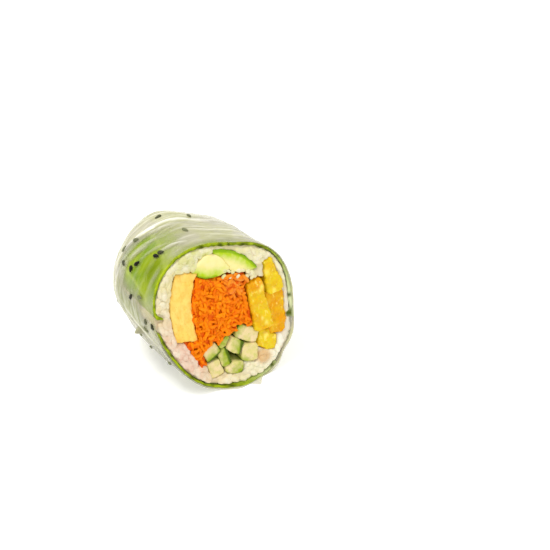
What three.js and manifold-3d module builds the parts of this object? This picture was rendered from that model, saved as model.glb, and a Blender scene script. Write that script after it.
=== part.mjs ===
// Half of a rice paper roll, lying on its side with the cut face tilted back.
// Millimetres, +Z up, resting on the plane z = 0. The cut face looks towards -Y.
//
// Every piece is first drawn in the roll's own space: u runs to the right and v up
// in the cut face, and depth runs from the cut face to the closed end. The function
// place() then lays the roll down, leans it and tapers it.

import * as THREE from 'three';
import { mergeVertices } from 'three/addons/utils/BufferGeometryUtils.js';
import Module from 'manifold-3d';

const wasm = await Module();
wasm.setup();

// ---------------------------------------------------------------- the roll's form

const LENGTH = 46; // cut face to closed end, along the middle
const RADIUS = 29.4; // of the cut face, on average
const TAPER = 0.05; // share of its width that the roll loses over its length
const FACE_TILT = 20; // degrees that the cut face leans back
const END_TILT = 5; // degrees that the closed end leans back
const DRIFT = -1.5; // how far the closed end lies to the left of the face
const SINK = 0.5; // how much the soft roll flattens where it rests
const DROP = 28.0; // from the middle of the face to the section's lowest point
const BLUNT_TOP = 4.2; // how square the closed end is, above
const BLUNT_BOTTOM = 8.4; // and below, where the roll sits on its side
const MIDDLE = [0.1, 16.75]; // point under the middle of the roll's box

// The section isn't round: each lobe has a height, a count round the roll, and the
// angle of its crest in degrees.
const LOBES = [
  [1.1, 1, 41],
  [1.3, 2, -29],
  [0.8, 3, 22],
  [0.6, 4, 42],
  [0.5, 5, 31],
];

const SAG = 1.2; // the side bulges this far half way along
const SAG_ANGLE = 215;
const RIPPLE = 0.22; // waves that the leaf gives to the sheet over it
const PLEATS = 8; // folds gathered at the closed end
const PLEAT_DEPTH = 1.3;
const DIMPLE = 1.6; // hollow where the folds meet

// Corners where the sheet's end was tucked in: height, angle and spread in degrees
const CORNERS = [
  [1.9, 99, 17],
  [1.0, 187, 12],
  [-0.6, 141, 13],
];

// Flatter places half way along: how deep, the angle and the spread in degrees
const FLATS = [
  [1.7, 40, 24],
  [0.8, 195, 12],
];

// Where the roll swells towards the cut: height, angle and spread in degrees
const SWELLS = [
  [0.8, 146, 28],
  [0.3, 90, 24],
  [0.4, 214, 24],
  [0.9, -65, 12],
  [-0.9, -43, 8],
];

// Layers, as distances in from the outer surface
const PAPER = 0.6;
const GAP = 0.3;
const LEAF = 0.7;
const LEAF_TOP = PAPER + GAP;
const LEAF_UNDER = LEAF_TOP + LEAF;
const RICE_TOP = LEAF_UNDER + GAP;

const TOP = 90; // degrees, straight up in the cut face
const SIDES = 40;
const STEP_ANGLE = 360 / SIDES;
const RISES = [0, 9, 18, 27, 34, 40, 45, 51, 59, 69, 80, 90]; // rim to pole

// ------------------------------------------------------------------- the fillings

const FILL_END = 37; // depth to which the fillings run
const FILL_TAPER = 0.1; // how much narrower they get on the way, as a share
const RICE_WALL = 1.2; // least rice between a filling and the leaf
const FILL_LEVELS = 3;
const FRONT_CLEAR = 4; // how far cutting shapes reach out of the face

const OMELETTE = { from: [-17.0, -5.8], to: [-12.2, 19.4], bow: 2.7, width: 9.0 };

const AVOCADO_LOWER = { from: [-10.2, 18.6], to: [5.8, 16.6], low: -2.6, high: 6.4 };
const AVOCADO_UPPER = { from: [0.2, 24.8], to: [17.4, 13.2], low: -4.6, high: 2.6 };

const MANGO = {
  mango_left: { at: [14.4, -0.8], size: [7.4, 18.8], turn: 4, crown: 0.6, slope: 1.4 },
  mango_right: { at: [21.7, -6.0], size: [7.8, 16.0], turn: -3, crown: 0.8, slope: 0.4 },
  mango_top: { at: [21.9, 8.0], size: [7.2, 13.4], turn: 13, crown: 0.8, slope: 3.6 },
  mango_low: { at: [15.9, -15.0], size: [7.6, 7.2], turn: -22, crown: 0.5 },
};

const CUCUMBER = [
  { at: [7.7, -10.1], size: [9.6, 5.6], turn: -30, crown: 0.6 },
  { at: [1.7, -12.9], size: [6.0, 5.4], turn: -38, crown: 0.5 },
  { at: [-8.3, -12.7], size: [6.6, 4.8], turn: 24, crown: 0.4 },
  { at: [7.1, -17.2], size: [6.6, 6.4], turn: -12, crown: 0.5 },
  { at: [-3.3, -16.2], size: [4.4, 7.0], turn: 10, crown: 0.5 },
  { at: [-0.2, -21.0], size: [7.4, 4.6], turn: -14, crown: 0.8 },
  { at: [-7.8, -19.4], size: [5.8, 6.2], turn: 8, crown: 0.4 },
  { at: [-2.4, -10.5], size: [5.6, 3.2], turn: 33, crown: 0.3 },
];

// The shredded carrot fills what its neighbours leave of this outline.
const CARROT_EDGE = [
  [-8.5, 17.2],
  [3.0, 14.0],
  [11.6, 14.0],
  [12.8, 8.4],
  [11.6, -7.4],
  [4.6, -6.4],
  [-2.0, -10.0],
  [-8.8, -11.6],
  [-10.3, -16.8],
  [-14.2, -17.0],
  [-18.6, -7.0],
  [-17.0, 4.0],
];

// No rice lies inside this line, which runs through the outermost fillings.
const HEART = [
  [-15.0, 13.0],
  [-4.0, 19.0],
  [8.0, 19.0],
  [12.0, 12.0],
  [20.6, 8.0],
  [21.6, -9.0],
  [15.9, -15.0],
  [7.1, -17.5],
  [-0.5, -20.8],
  [-7.8, -19.5],
  [-13.0, -14.0],
  [-18.0, 2.0],
];

const CARROT_SUNK = 0.9; // the packed core lies this far behind the loose shreds
const SHREDS = 38;
const SHRED = { length: [4.5, 9.0], thick: 1.35, bend: 1.1, lean: 0.22, depth: [0.1, 0.9] };

const GRAINS = 56;
const GRAIN = { length: 5.8, width: 2.5, thick: 2.1, lean: 0.15, depth: [0, 0.5] };
const GRAIN_TURN = 70; // most grains lie within this of the wall that they lie along

// Least spacing of the shreds and grains, and how far they keep off other fillings
const SHRED_ROOM = { apart: 2.1, clear: 0.5 };
const GRAIN_ROOM = { apart: 2.75, clear: 0.7 };
const MOST_TRIES = 20000; // to find room for all of them

// Leaves, as the angles between which each one wraps the rice
const LEAF_UPPER = { from: -18, to: 162 };
const LEAF_LOWER = { from: 180, to: 306, reach: 2.6, at: 274, spread: 15 }; // and its lip
const LEAF_CURL = 1.1; // the upper leaf's left edge turns in by this much
const LEAF_LAST_RISE = 9; // index into RISES of the leaves' back edge

// Sesame seeds in the sheet: angle round the roll and depth
const SEED = { length: 3.1, width: 1.8, thick: 1.0 };
const SEED_PLACES = [
  [104, 29.6],
  [80, 26.2],
  [98, 12.5],
  [128, 9.0],
  [124, 8.2],
  [141, 17.0],
  [147, 19.4],
  [148, 26.2],
  [164, 16.0],
  [159, 9.0],
  [129, 26.8],
  [140, 31.0],
  [174, 6.4],
  [184, 9.5],
  [-17, 5.0],
  [173, 1.3],
];
const SEEDS_ELSEWHERE = 12;
const SEED_SIDES = { right: [-50, 26], left: [190, 245] }; // angles between which they lie
const SEED_DEPTHS = { first: 5, step: 16.5, jitter: 6, reach: 34 };

// Loose lips of the sheet stand out of the cut near the floor: how far each reaches,
// its angle, and its spread in degrees.
const LIPS = [
  [2.3, -90, 12],
  [3.3, -76.5, 4.5],
];
const RIM_WAVE = 0.35;

const LOOKS = {
  paper: { color: 0xdfe6c8, roughness: 0.3, metalness: 0 },
  leaf: { color: 0x7fa63a, roughness: 0.55, metalness: 0 },
  rice: { color: 0xf3ece4, roughness: 0.5, metalness: 0 },
  omelette: { color: 0xffd873, roughness: 0.6, metalness: 0 },
  carrot: { color: 0xff7a12, roughness: 0.45, metalness: 0 },
  avocado: { color: 0xe6e68a, roughness: 0.5, metalness: 0 },
  mango: { color: 0xf7b500, roughness: 0.3, metalness: 0 },
  cucumber: { color: 0xc9dca0, roughness: 0.35, metalness: 0 },
};

// -------------------------------------------------------------- small mathematics

const radians = THREE.MathUtils.degToRad;
const clamp = THREE.MathUtils.clamp;
const lerp = THREE.MathUtils.lerp;

// A seeded draw: each call gives the next number from 0 to 1.
function drawer(seed) {
  const modulus = 2147483647;
  let state = seed;
  return () => {
    state = (state * 48271) % modulus;
    return state / modulus;
  };
}

function between(draw, low, high) {
  return lerp(low, high, draw());
}

// Degrees from one angle to another, from -180 to 180
function turnBetween(a, b) {
  return THREE.MathUtils.euclideanModulo(b - a + 180, 360) - 180;
}

// 1 at an angle, falling away smoothly to either side of it
function peak(angle, spread, degrees) {
  return Math.exp(-((turnBetween(angle, degrees) / spread) ** 2));
}

// ------------------------------------------------------- the roll's form, worked out

function sectionRadius(degrees) {
  let radius = RADIUS;
  for (const [height, count, crest] of LOBES) {
    radius += height * Math.cos(radians(count * (degrees - crest)));
  }
  return radius;
}

// From roll space to the lying roll. Nothing goes below the given floor height.
function place(u, v, depth, floor = 0) {
  const along = depth / LENGTH;
  const size = 1 - TAPER * along;
  const tilt = radians(lerp(FACE_TILT, END_TILT, along));
  const height = size * (DROP + v) * Math.cos(tilt) - SINK;
  return new THREE.Vector3(
    size * u + DRIFT * along - MIDDLE[0],
    depth + size * v * Math.sin(tilt) - MIDDLE[1],
    Math.max(height, floor),
  );
}

// How much of its full width and of its length the roll has at a rise, which goes
// from 0 at the rim to 90 degrees at the middle of the closed end.
function meridian(degrees, rise) {
  const below = Math.max(0, -Math.sin(radians(degrees)));
  const power = lerp(BLUNT_TOP, BLUNT_BOTTOM, below * below);
  const across = Math.cos(radians(rise));
  const along = Math.sin(radians(rise));
  const reach = (across ** power + along ** power) ** (-1 / power);
  return { width: across * reach, depth: along * reach };
}

// A point in roll space on the surface that lies inset below the outer one
function bodyPoint(degrees, rise, inset) {
  const { width, depth } = meridian(degrees, rise);
  const sideways = Math.max(0, Math.cos(radians(degrees - SAG_ANGLE)));
  const sag = SAG * sideways ** 2 * Math.sin(Math.PI * depth);
  const wave = Math.sin(radians(7 * degrees) + 5 * depth) * Math.sin(Math.PI * depth);
  let radius = (sectionRadius(degrees) - inset) * width + sag + RIPPLE * wave;
  for (const [deep, angle, spread] of FLATS) {
    radius -= deep * Math.sin(Math.PI * depth) * peak(angle, spread, degrees);
  }
  for (const [height, angle, spread] of CORNERS) {
    radius += 2 * height * width * depth ** 3 * peak(angle, spread, degrees);
  }
  for (const [height, angle, spread] of SWELLS) {
    radius += height * (1 - depth) ** 2 * peak(angle, spread, degrees);
  }
  const gathered = (1 - width) ** 1.5;
  const fold = 0.5 - 0.5 * Math.cos(radians(PLEATS * degrees) + 2.4 * width);
  const dent = gathered * (DIMPLE + PLEAT_DEPTH * fold * width * 2);
  return {
    u: radius * Math.cos(radians(degrees)),
    v: radius * Math.sin(radians(degrees)),
    depth: (LENGTH - inset) * depth - dent,
  };
}

// How far the sheet's rim stands out in front of the cut at an angle
function rimReach(degrees) {
  const wave = Math.sin(radians(5 * degrees)) + Math.sin(radians(11 * degrees + 40));
  let reach = RIM_WAVE * (1 + 0.5 * wave);
  for (const [height, angle, spread] of LIPS) {
    reach += height * peak(angle, spread, degrees);
  }
  return reach;
}

// ----------------------------------------------------------- geometry into solids

function signedVolume(position, index) {
  const a = new THREE.Vector3();
  const b = new THREE.Vector3();
  const c = new THREE.Vector3();
  let volume = 0;
  for (let i = 0; i < index.length; i += 3) {
    a.fromBufferAttribute(position, index[i]);
    b.fromBufferAttribute(position, index[i + 1]);
    c.fromBufferAttribute(position, index[i + 2]);
    volume += a.dot(b.cross(c)) / 6;
  }
  return volume;
}

// Merges the corners, drops faces that have closed up, and turns the rest outwards.
function toSolid(geometry) {
  geometry.deleteAttribute('normal');
  geometry.deleteAttribute('uv');
  const merged = mergeVertices(geometry, 1e-4);
  const position = merged.getAttribute('position');
  const source = merged.getIndex().array;
  const faces = [];
  for (let i = 0; i < source.length; i += 3) {
    const [a, b, c] = [source[i], source[i + 1], source[i + 2]];
    if (a !== b && b !== c && c !== a) {
      faces.push(a, b, c);
    }
  }
  if (signedVolume(position, faces) < 0) {
    for (let i = 0; i < faces.length; i += 3) {
      [faces[i], faces[i + 1]] = [faces[i + 1], faces[i]];
    }
  }
  const mesh = new wasm.Mesh({
    numProp: 3,
    vertProperties: Float32Array.from(position.array),
    triVerts: Uint32Array.from(faces),
  });
  return new wasm.Manifold(mesh);
}

// Moves each corner of a geometry by a function that returns its new place.
function moveCorners(geometry, move) {
  const position = geometry.getAttribute('position');
  for (let i = 0; i < position.count; i += 1) {
    const moved = move(position.getX(i), position.getY(i), position.getZ(i));
    position.setXYZ(i, moved.x, moved.y, moved.z);
  }
  return geometry;
}

function join(solids) {
  return solids.reduce((whole, solid) => whole.add(solid));
}

// The largest separate part of a solid: loose scraps are dropped.
function largest(solid) {
  const parts = solid.decompose();
  parts.sort((a, b) => b.volume() - a.volume());
  return parts[0];
}

function toMesh(name, solid, look) {
  const { vertProperties, triVerts } = largest(solid).getMesh();
  const geometry = new THREE.BufferGeometry();
  geometry.setAttribute('position', new THREE.BufferAttribute(vertProperties, 3));
  geometry.setIndex(new THREE.BufferAttribute(triVerts, 1));
  geometry.computeVertexNormals();
  const mesh = new THREE.Mesh(geometry, new THREE.MeshStandardMaterial(LOOKS[look]));
  mesh.name = name;
  return mesh;
}

// ------------------------------------------------------------------- body solids

// The roll's whole form at an inset. The lathe turns a quarter circle, whose corners
// then move out to the surface. A reach in front carries its rim past the cut face.
function bodySolid(insetAt, reachAt) {
  const profile = [new THREE.Vector2(0, -1), new THREE.Vector2(1, -1)];
  for (const rise of RISES) {
    profile.push(new THREE.Vector2(Math.cos(radians(rise)), Math.sin(radians(rise))));
  }
  const lathe = new THREE.LatheGeometry(profile, SIDES);
  moveCorners(lathe, (x, y, z) => {
    const across = Math.hypot(x, z);
    const turn = THREE.MathUtils.radToDeg(Math.atan2(z, x));
    const degrees = (Math.round(turn / STEP_ANGLE + SIDES) % SIDES) * STEP_ANGLE;
    if (y < -0.5) {
      if (across < 0.5) {
        return place(0, 0, -reachAt(TOP));
      }
      const inset = insetAt(degrees, 0);
      const rim = bodyPoint(degrees, 0, inset);
      return place(rim.u, rim.v, -reachAt(degrees), inset);
    }
    const slope = THREE.MathUtils.radToDeg(Math.atan2(y, across));
    const rise = RISES.find((level) => Math.abs(level - slope) < 1);
    const inset = insetAt(degrees, rise);
    const point = bodyPoint(degrees, rise, inset);
    return place(point.u, point.v, point.depth, inset);
  });
  return toSolid(lathe);
}

// ------------------------------------------------------------------ leaf and sheet

// How far in the upper leaf's curled edge lies at an angle
function curlAt(degrees) {
  const off = Math.abs(turnBetween(degrees, LEAF_UPPER.to)) / (2 * STEP_ANGLE);
  return LEAF_CURL * Math.max(0, 1 - off) ** 2;
}

function isUnder(leaf, degrees) {
  const from = THREE.MathUtils.euclideanModulo(degrees - leaf.from, 360);
  return from <= leaf.to - leaf.from + 1e-6;
}

// The rice fills out to the sheet where no leaf covers it.
function riceInset(degrees, rise) {
  if (rise > RISES[LEAF_LAST_RISE] || isUnder(LEAF_LOWER, degrees)) {
    return RICE_TOP;
  }
  return isUnder(LEAF_UPPER, degrees) ? RICE_TOP + curlAt(degrees) : LEAF_TOP;
}

// A thin sheet with both faces split into triangles alike, closed round its edge
function leafSolid(leaf) {
  const columns = Math.round((leaf.to - leaf.from) / STEP_ANGLE);
  const rows = LEAF_LAST_RISE;
  const corners = [];
  const faces = [];
  for (const under of [false, true]) {
    for (let column = 0; column <= columns; column += 1) {
      const degrees = leaf.from + column * STEP_ANGLE;
      const curl = leaf === LEAF_UPPER ? curlAt(degrees) : 0;
      const inset = (under ? LEAF_UNDER : LEAF_TOP) + curl;
      for (let row = 0; row <= rows; row += 1) {
        const point = bodyPoint(degrees, RISES[row], inset);
        const lip = row === 0 && leaf.reach ? leaf.reach * peak(leaf.at, leaf.spread, degrees) : 0;
        corners.push(...place(point.u, point.v, point.depth - lip, inset).toArray());
      }
    }
  }
  const top = (column, row) => column * (rows + 1) + row;
  const under = (column, row) => top(columns + 1 + column, row);
  const quad = (a, b, c, d) => faces.push(a, b, d, b, c, d);
  for (let column = 0; column < columns; column += 1) {
    const next = column + 1;
    for (let row = 0; row < rows; row += 1) {
      quad(top(column, row), top(next, row), top(next, row + 1), top(column, row + 1));
      const [a, b] = [under(column, row), under(next, row)];
      const [c, d] = [under(next, row + 1), under(column, row + 1)];
      faces.push(a, d, b, b, d, c);
    }
    quad(top(column, 0), under(column, 0), under(next, 0), top(next, 0));
    quad(top(column, rows), top(next, rows), under(next, rows), under(column, rows));
  }
  for (let row = 0; row < rows; row += 1) {
    const after = row + 1;
    quad(top(0, row), top(0, after), under(0, after), under(0, row));
    quad(top(columns, row), under(columns, row), under(columns, after), top(columns, after));
  }
  const geometry = new THREE.BufferGeometry();
  geometry.setAttribute('position', new THREE.Float32BufferAttribute(corners, 3));
  geometry.setIndex(faces);
  return toSolid(geometry);
}

// A seed lies flat in the sheet, half sunk, with its long side turned by an angle.
function seedSolid(degrees, depth, turn) {
  const rise = riseAtDepth(degrees, depth);
  const here = bodyPoint(degrees, rise, 0);
  const centre = place(here.u, here.v, here.depth);
  const beside = bodyPoint(degrees + 2, rise, 0);
  const behind = bodyPoint(degrees, rise + 1.5, 0);
  const round = place(beside.u, beside.v, beside.depth).sub(centre).normalize();
  const back = place(behind.u, behind.v, behind.depth).sub(centre);
  const out = new THREE.Vector3().crossVectors(back, round).normalize();
  back.crossVectors(round, out).normalize();
  const long = round.clone().multiplyScalar(Math.cos(turn));
  long.addScaledVector(back, Math.sin(turn));
  const wide = new THREE.Vector3().crossVectors(out, long);
  const seed = new THREE.IcosahedronGeometry(1, 0);
  moveCorners(seed, (x, y, z) => {
    const point = centre.clone();
    point.addScaledVector(long, (x * SEED.length) / 2);
    point.addScaledVector(wide, (y * SEED.width * (1 - 0.3 * x)) / 2);
    point.addScaledVector(out, (z * SEED.thick) / 2);
    return point;
  });
  return toSolid(seed);
}

// The rise at which the outer surface reaches a depth, found by halving
function riseAtDepth(degrees, depth) {
  let low = 0;
  let high = 80;
  for (let step = 0; step < 30; step += 1) {
    const middle = (low + high) / 2;
    if (bodyPoint(degrees, middle, 0).depth < depth) {
      low = middle;
    } else {
      high = middle;
    }
  }
  return low;
}

function seedSolids() {
  const draw = drawer(41);
  const seeds = SEED_PLACES.map(([degrees, depth]) =>
    seedSolid(degrees, depth, between(draw, 0, Math.PI)),
  );
  // The rest spread evenly over the sides and the back, but not where the roll rests.
  const { right, left } = SEED_SIDES;
  const { first, step, jitter, reach } = SEED_DEPTHS;
  for (let i = 0; i < SEEDS_ELSEWHERE; i += 1) {
    const share = (2 * i + 1) / SEEDS_ELSEWHERE;
    const degrees = share < 1 ? lerp(...right, share) : lerp(...left, share - 1);
    const depth = first + ((i * step + between(draw, 0, jitter)) % reach);
    seeds.push(seedSolid(degrees + between(draw, -5, 5), depth, between(draw, 0, Math.PI)));
  }
  return seeds;
}

// ---------------------------------------------------------------- filling outlines

const direction = (degrees) => [Math.cos(radians(degrees)), Math.sin(radians(degrees))];

// A strip of even width whose middle line bows to the left of its way
function stripOutline({ from, to, bow, width }) {
  const steps = 5;
  const way = new THREE.Vector2(to[0] - from[0], to[1] - from[1]);
  const side = new THREE.Vector2(-way.y, way.x).normalize();
  const edge = (offset, share) => {
    const out = bow * (1 - (2 * share - 1) ** 2) + offset;
    return [from[0] + way.x * share + side.x * out, from[1] + way.y * share + side.y * out];
  };
  const outline = [];
  for (let i = 0; i <= steps; i += 1) {
    outline.push(edge(-width / 2, i / steps));
  }
  for (let i = steps; i >= 0; i -= 1) {
    outline.push(edge(width / 2, i / steps));
  }
  return outline;
}

// A slice with two tips, between a low and a high arc
function sliceOutline({ from, to, low, high }) {
  const steps = 6;
  const way = new THREE.Vector2(to[0] - from[0], to[1] - from[1]);
  const side = new THREE.Vector2(-way.y, way.x).normalize();
  const arc = (height, share) => {
    const out = height * (1 - (2 * share - 1) ** 2);
    return [from[0] + way.x * share + side.x * out, from[1] + way.y * share + side.y * out];
  };
  const outline = [];
  for (let i = 0; i <= steps; i += 1) {
    outline.push(arc(low, i / steps));
  }
  for (let i = steps - 1; i > 0; i -= 1) {
    outline.push(arc(high, i / steps));
  }
  return outline;
}

// A cut stick seen end on: a rectangle whose lower side, the rind, is crowned, and
// whose upper left corner may be cut in by a slope
function stickOutline({ at, size, turn, crown, slope = 0 }) {
  const [width, height] = size;
  const right = width / 2;
  const top = height / 2;
  const local = [
    [-right, crown - top],
    [-right / 3, -top],
    [right / 3, -top],
    [right, crown - top],
    [right, top],
    [slope - right, top],
  ];
  const [cosine, sine] = direction(turn);
  return local.map(([x, y]) => [
    at[0] + x * cosine - y * sine,
    at[1] + x * sine + y * cosine,
  ]);
}

// Pulls an outline's far corners in, so that rice stays between it and the leaf.
function keepInside(outline) {
  return outline.map(([u, v]) => {
    const degrees = THREE.MathUtils.radToDeg(Math.atan2(v, u));
    const most = sectionRadius(degrees) - RICE_TOP - RICE_WALL;
    const share = Math.min(1, most / Math.hypot(u, v));
    return [u * share, v * share];
  });
}

// The outline moved outwards by a distance, corner by corner
function grow(outline, distance) {
  const turn = THREE.ShapeUtils.area(outline.map(([x, y]) => ({ x, y }))) > 0 ? 1 : -1;
  return outline.map(([x, y], i) => {
    const [px, py] = outline[(i + outline.length - 1) % outline.length];
    const [nx, ny] = outline[(i + 1) % outline.length];
    const before = new THREE.Vector2(y - py, px - x).normalize();
    const after = new THREE.Vector2(ny - y, x - nx).normalize();
    const mitre = before.add(after).normalize();
    const stretch = 1 / Math.max(0.5, mitre.dot(after));
    return [x + mitre.x * distance * stretch * turn, y + mitre.y * distance * stretch * turn];
  });
}

// A filling narrows with the rice towards the closed end.
function fillScale(depth) {
  const along = clamp(depth / (LENGTH - RICE_TOP), 0, 1);
  return (1 - FILL_TAPER * along) * (1 - along ** BLUNT_TOP) ** (1 / BLUNT_TOP);
}

// A filling with this outline, from its cut end to its far end
function fillingSolid(outline, start, end) {
  const shape = new THREE.Shape(outline.map(([x, y]) => new THREE.Vector2(x, y)));
  const options = { depth: 1, steps: FILL_LEVELS, bevelEnabled: false };
  const prism = new THREE.ExtrudeGeometry(shape, options);
  moveCorners(prism, (x, y, z) => {
    const level = Math.round(z * FILL_LEVELS);
    const depth = level === 0 ? start : (end * level) / FILL_LEVELS;
    const size = fillScale(depth);
    return place(x * size, y * size, depth);
  });
  return toSolid(prism);
}

function contains(outline, u, v) {
  let inside = false;
  for (let i = 0, j = outline.length - 1; i < outline.length; j = i, i += 1) {
    const [ax, ay] = outline[i];
    const [bx, by] = outline[j];
    if (ay > v !== by > v && u < ((bx - ax) * (v - ay)) / (by - ay) + ax) {
      inside = !inside;
    }
  }
  return inside;
}

// -------------------------------------------------------- rice grains and shreds

function grainSolid(u, v, depth, turn, draw) {
  const grain = new THREE.SphereGeometry(1, 6, 3);
  const [cosine, sine] = direction(turn);
  const lean = between(draw, -GRAIN.lean, GRAIN.lean);
  moveCorners(grain, (x, y, z) => {
    const long = (y * GRAIN.length) / 2;
    const wide = (x * GRAIN.width) / 2;
    const thick = (z * GRAIN.thick) / 2 + long * lean;
    return place(u + long * cosine - wide * sine, v + long * sine + wide * cosine, depth + thick);
  });
  return toSolid(grain);
}

function grainSolids(outlines) {
  const draw = drawer(7);
  const taken = [];
  const grains = [];
  const blocked = outlines.map((outline) => grow(outline, GRAIN_ROOM.clear));
  for (let tries = 0; tries < MOST_TRIES && grains.length < GRAINS; tries += 1) {
    const degrees = between(draw, 0, 360);
    const radius = RADIUS * Math.sqrt(draw());
    const [u, v] = direction(degrees).map((value) => value * radius);
    const outside = radius > sectionRadius(degrees) - RICE_TOP - GRAIN.width / 2;
    const crowded = taken.some(([x, y]) => Math.hypot(x - u, y - v) < GRAIN_ROOM.apart);
    if (outside || crowded || blocked.some((outline) => contains(outline, u, v))) {
      continue;
    }
    taken.push([u, v]);
    const turn = degrees + 90 + between(draw, -GRAIN_TURN, GRAIN_TURN);
    grains.push(grainSolid(u, v, between(draw, ...GRAIN.depth), turn, draw));
  }
  return grains;
}

function shredSolid(u, v, depth, turn, draw) {
  const length = between(draw, ...SHRED.length);
  const bar = new THREE.BoxGeometry(length, SHRED.thick, SHRED.thick, 2, 1, 1);
  const bend = between(draw, -SHRED.bend, SHRED.bend);
  const lean = between(draw, -SHRED.lean, SHRED.lean);
  const [cosine, sine] = direction(turn);
  moveCorners(bar, (x, y, z) => {
    const along = (2 * x) / length;
    const across = y * (1 - 0.25 * along * along) + bend * (1 - along * along);
    const out = z * (1 - 0.2 * along * along) + lean * x;
    return place(u + x * cosine - across * sine, v + x * sine + across * cosine, depth + out);
  });
  return toSolid(bar);
}

function shredSolids(edge, outlines) {
  const draw = drawer(19);
  const blocked = outlines.map((outline) => grow(outline, SHRED_ROOM.clear));
  const span = (axis) => {
    const values = edge.map((corner) => corner[axis]);
    return [Math.min(...values), Math.max(...values)];
  };
  const [across, upward] = [span(0), span(1)];
  const taken = [];
  const shreds = [];
  for (let tries = 0; tries < MOST_TRIES && shreds.length < SHREDS; tries += 1) {
    const u = between(draw, ...across);
    const v = between(draw, ...upward);
    const crowded = taken.some(([x, y]) => Math.hypot(x - u, y - v) < SHRED_ROOM.apart);
    const free = contains(edge, u, v) && !blocked.some((outline) => contains(outline, u, v));
    if (!free || crowded) {
      continue;
    }
    taken.push([u, v]);
    const turn = between(draw, 0, 180);
    shreds.push(shredSolid(u, v, between(draw, ...SHRED.depth), turn, draw));
  }
  return shreds;
}

// --------------------------------------------------------------------- the fillings

const outlines = {
  omelette: keepInside(stripOutline(OMELETTE)),
  avocado_lower: keepInside(sliceOutline(AVOCADO_LOWER)),
  avocado_upper: keepInside(sliceOutline(AVOCADO_UPPER)),
};
for (const [name, stick] of Object.entries(MANGO)) {
  outlines[name] = keepInside(stickOutline(stick));
}
CUCUMBER.forEach((stick, i) => {
  outlines[`cucumber_${i + 1}`] = keepInside(stickOutline(stick));
});

// Each filling ends a little before or behind the cut, as it sprang or sank there.
const STARTS = [0.2, -0.3, 0.1, -0.5, 0.3, -0.2, 0.4];

const meshes = [];
const cutters = [];
Object.entries(outlines).forEach(([name, outline], i) => {
  let solid = fillingSolid(outline, STARTS[i % STARTS.length], FILL_END);
  for (const cutter of cutters) {
    solid = solid.subtract(cutter);
  }
  cutters.push(fillingSolid(grow(outline, GAP), -FRONT_CLEAR, FILL_END + GAP));
  meshes.push(toMesh(name, solid, name.split('_')[0]));
});
const filled = join(cutters);

// --------------------------------------------------------------------------- carrot

const carrotEdge = keepInside(CARROT_EDGE);
const carrotCore = fillingSolid(carrotEdge, CARROT_SUNK, FILL_END);
const carrotRoom = fillingSolid(carrotEdge, -FRONT_CLEAR, FILL_END);
const shreds = join(shredSolids(carrotEdge, Object.values(outlines)));
const carrot = carrotCore.add(shreds).intersect(carrotRoom).subtract(filled);
meshes.push(toMesh('carrot', carrot, 'carrot'));

// ----------------------------------------------------------------------------- rice

const heart = [carrotEdge, HEART].map((edge) =>
  fillingSolid(grow(edge, GAP), -FRONT_CLEAR, FILL_END + GAP),
);
const hollow = join([filled, ...heart]);
const riceCore = bodySolid(riceInset, () => 0);
const riceRoom = bodySolid(riceInset, () => FRONT_CLEAR);
const grains = join(grainSolids([...Object.values(outlines), carrotEdge, HEART]));
const rice = riceCore.add(grains).intersect(riceRoom).subtract(hollow);
meshes.push(toMesh('rice', rice, 'rice'));

// ------------------------------------------------------------------ leaves and sheet

meshes.push(toMesh('leaf_upper', leafSolid(LEAF_UPPER), 'leaf'));
meshes.push(toMesh('leaf_lower', leafSolid(LEAF_LOWER), 'leaf'));

const paperOutside = bodySolid(() => 0, rimReach);
const paperInside = bodySolid(() => PAPER, () => 2 * FRONT_CLEAR);
const paper = join([paperOutside, ...seedSolids()]).subtract(paperInside);
meshes.push(toMesh('rice_paper', paper, 'paper'));

const roll = new THREE.Group();
roll.add(...meshes);

export default roll;
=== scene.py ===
"""Dresses the half rice paper roll: its sheet, seeds, leaves, rice and fillings."""

import math

import bmesh
import bpy
from bpy.props import FloatProperty, FloatVectorProperty, IntProperty, PointerProperty
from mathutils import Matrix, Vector, noise


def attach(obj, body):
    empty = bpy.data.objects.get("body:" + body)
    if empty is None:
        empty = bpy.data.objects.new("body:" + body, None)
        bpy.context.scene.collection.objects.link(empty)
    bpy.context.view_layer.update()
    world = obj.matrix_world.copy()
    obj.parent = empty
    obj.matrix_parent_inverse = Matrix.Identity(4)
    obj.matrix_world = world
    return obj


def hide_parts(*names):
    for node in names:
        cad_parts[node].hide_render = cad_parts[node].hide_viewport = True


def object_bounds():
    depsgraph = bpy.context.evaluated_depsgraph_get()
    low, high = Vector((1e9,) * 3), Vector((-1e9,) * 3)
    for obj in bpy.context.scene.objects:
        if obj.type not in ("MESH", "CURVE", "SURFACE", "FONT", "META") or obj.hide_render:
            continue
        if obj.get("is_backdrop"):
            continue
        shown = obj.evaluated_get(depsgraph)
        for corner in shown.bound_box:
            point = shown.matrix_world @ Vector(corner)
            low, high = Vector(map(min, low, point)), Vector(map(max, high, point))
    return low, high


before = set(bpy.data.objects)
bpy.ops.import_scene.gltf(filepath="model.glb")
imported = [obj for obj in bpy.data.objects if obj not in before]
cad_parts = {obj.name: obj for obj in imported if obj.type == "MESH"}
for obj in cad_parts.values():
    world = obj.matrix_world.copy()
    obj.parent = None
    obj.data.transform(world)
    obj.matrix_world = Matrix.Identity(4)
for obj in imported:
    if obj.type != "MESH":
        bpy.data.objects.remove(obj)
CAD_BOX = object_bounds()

bl_info = {
    "name": "Rice paper roll half",
    "version": (1, 0, 0),
    "blender": (4, 5, 0),
    "location": "3D View > Sidebar > Roll",
    "description": "Builds the looks of half a rice paper roll around its solid model",
    "category": "Add Mesh",
}

# ------------------------------------------------------------------ the roll's form
#
# Roll space is in millimetres: u runs to the right and v up in the cut face, and
# depth runs from the cut face to the closed end. Angles are in radians.

MM = 0.001

LENGTH = 46.0
RADIUS = 29.4
# The share of its width that the roll loses along its length
TAPER = 0.05
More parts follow.
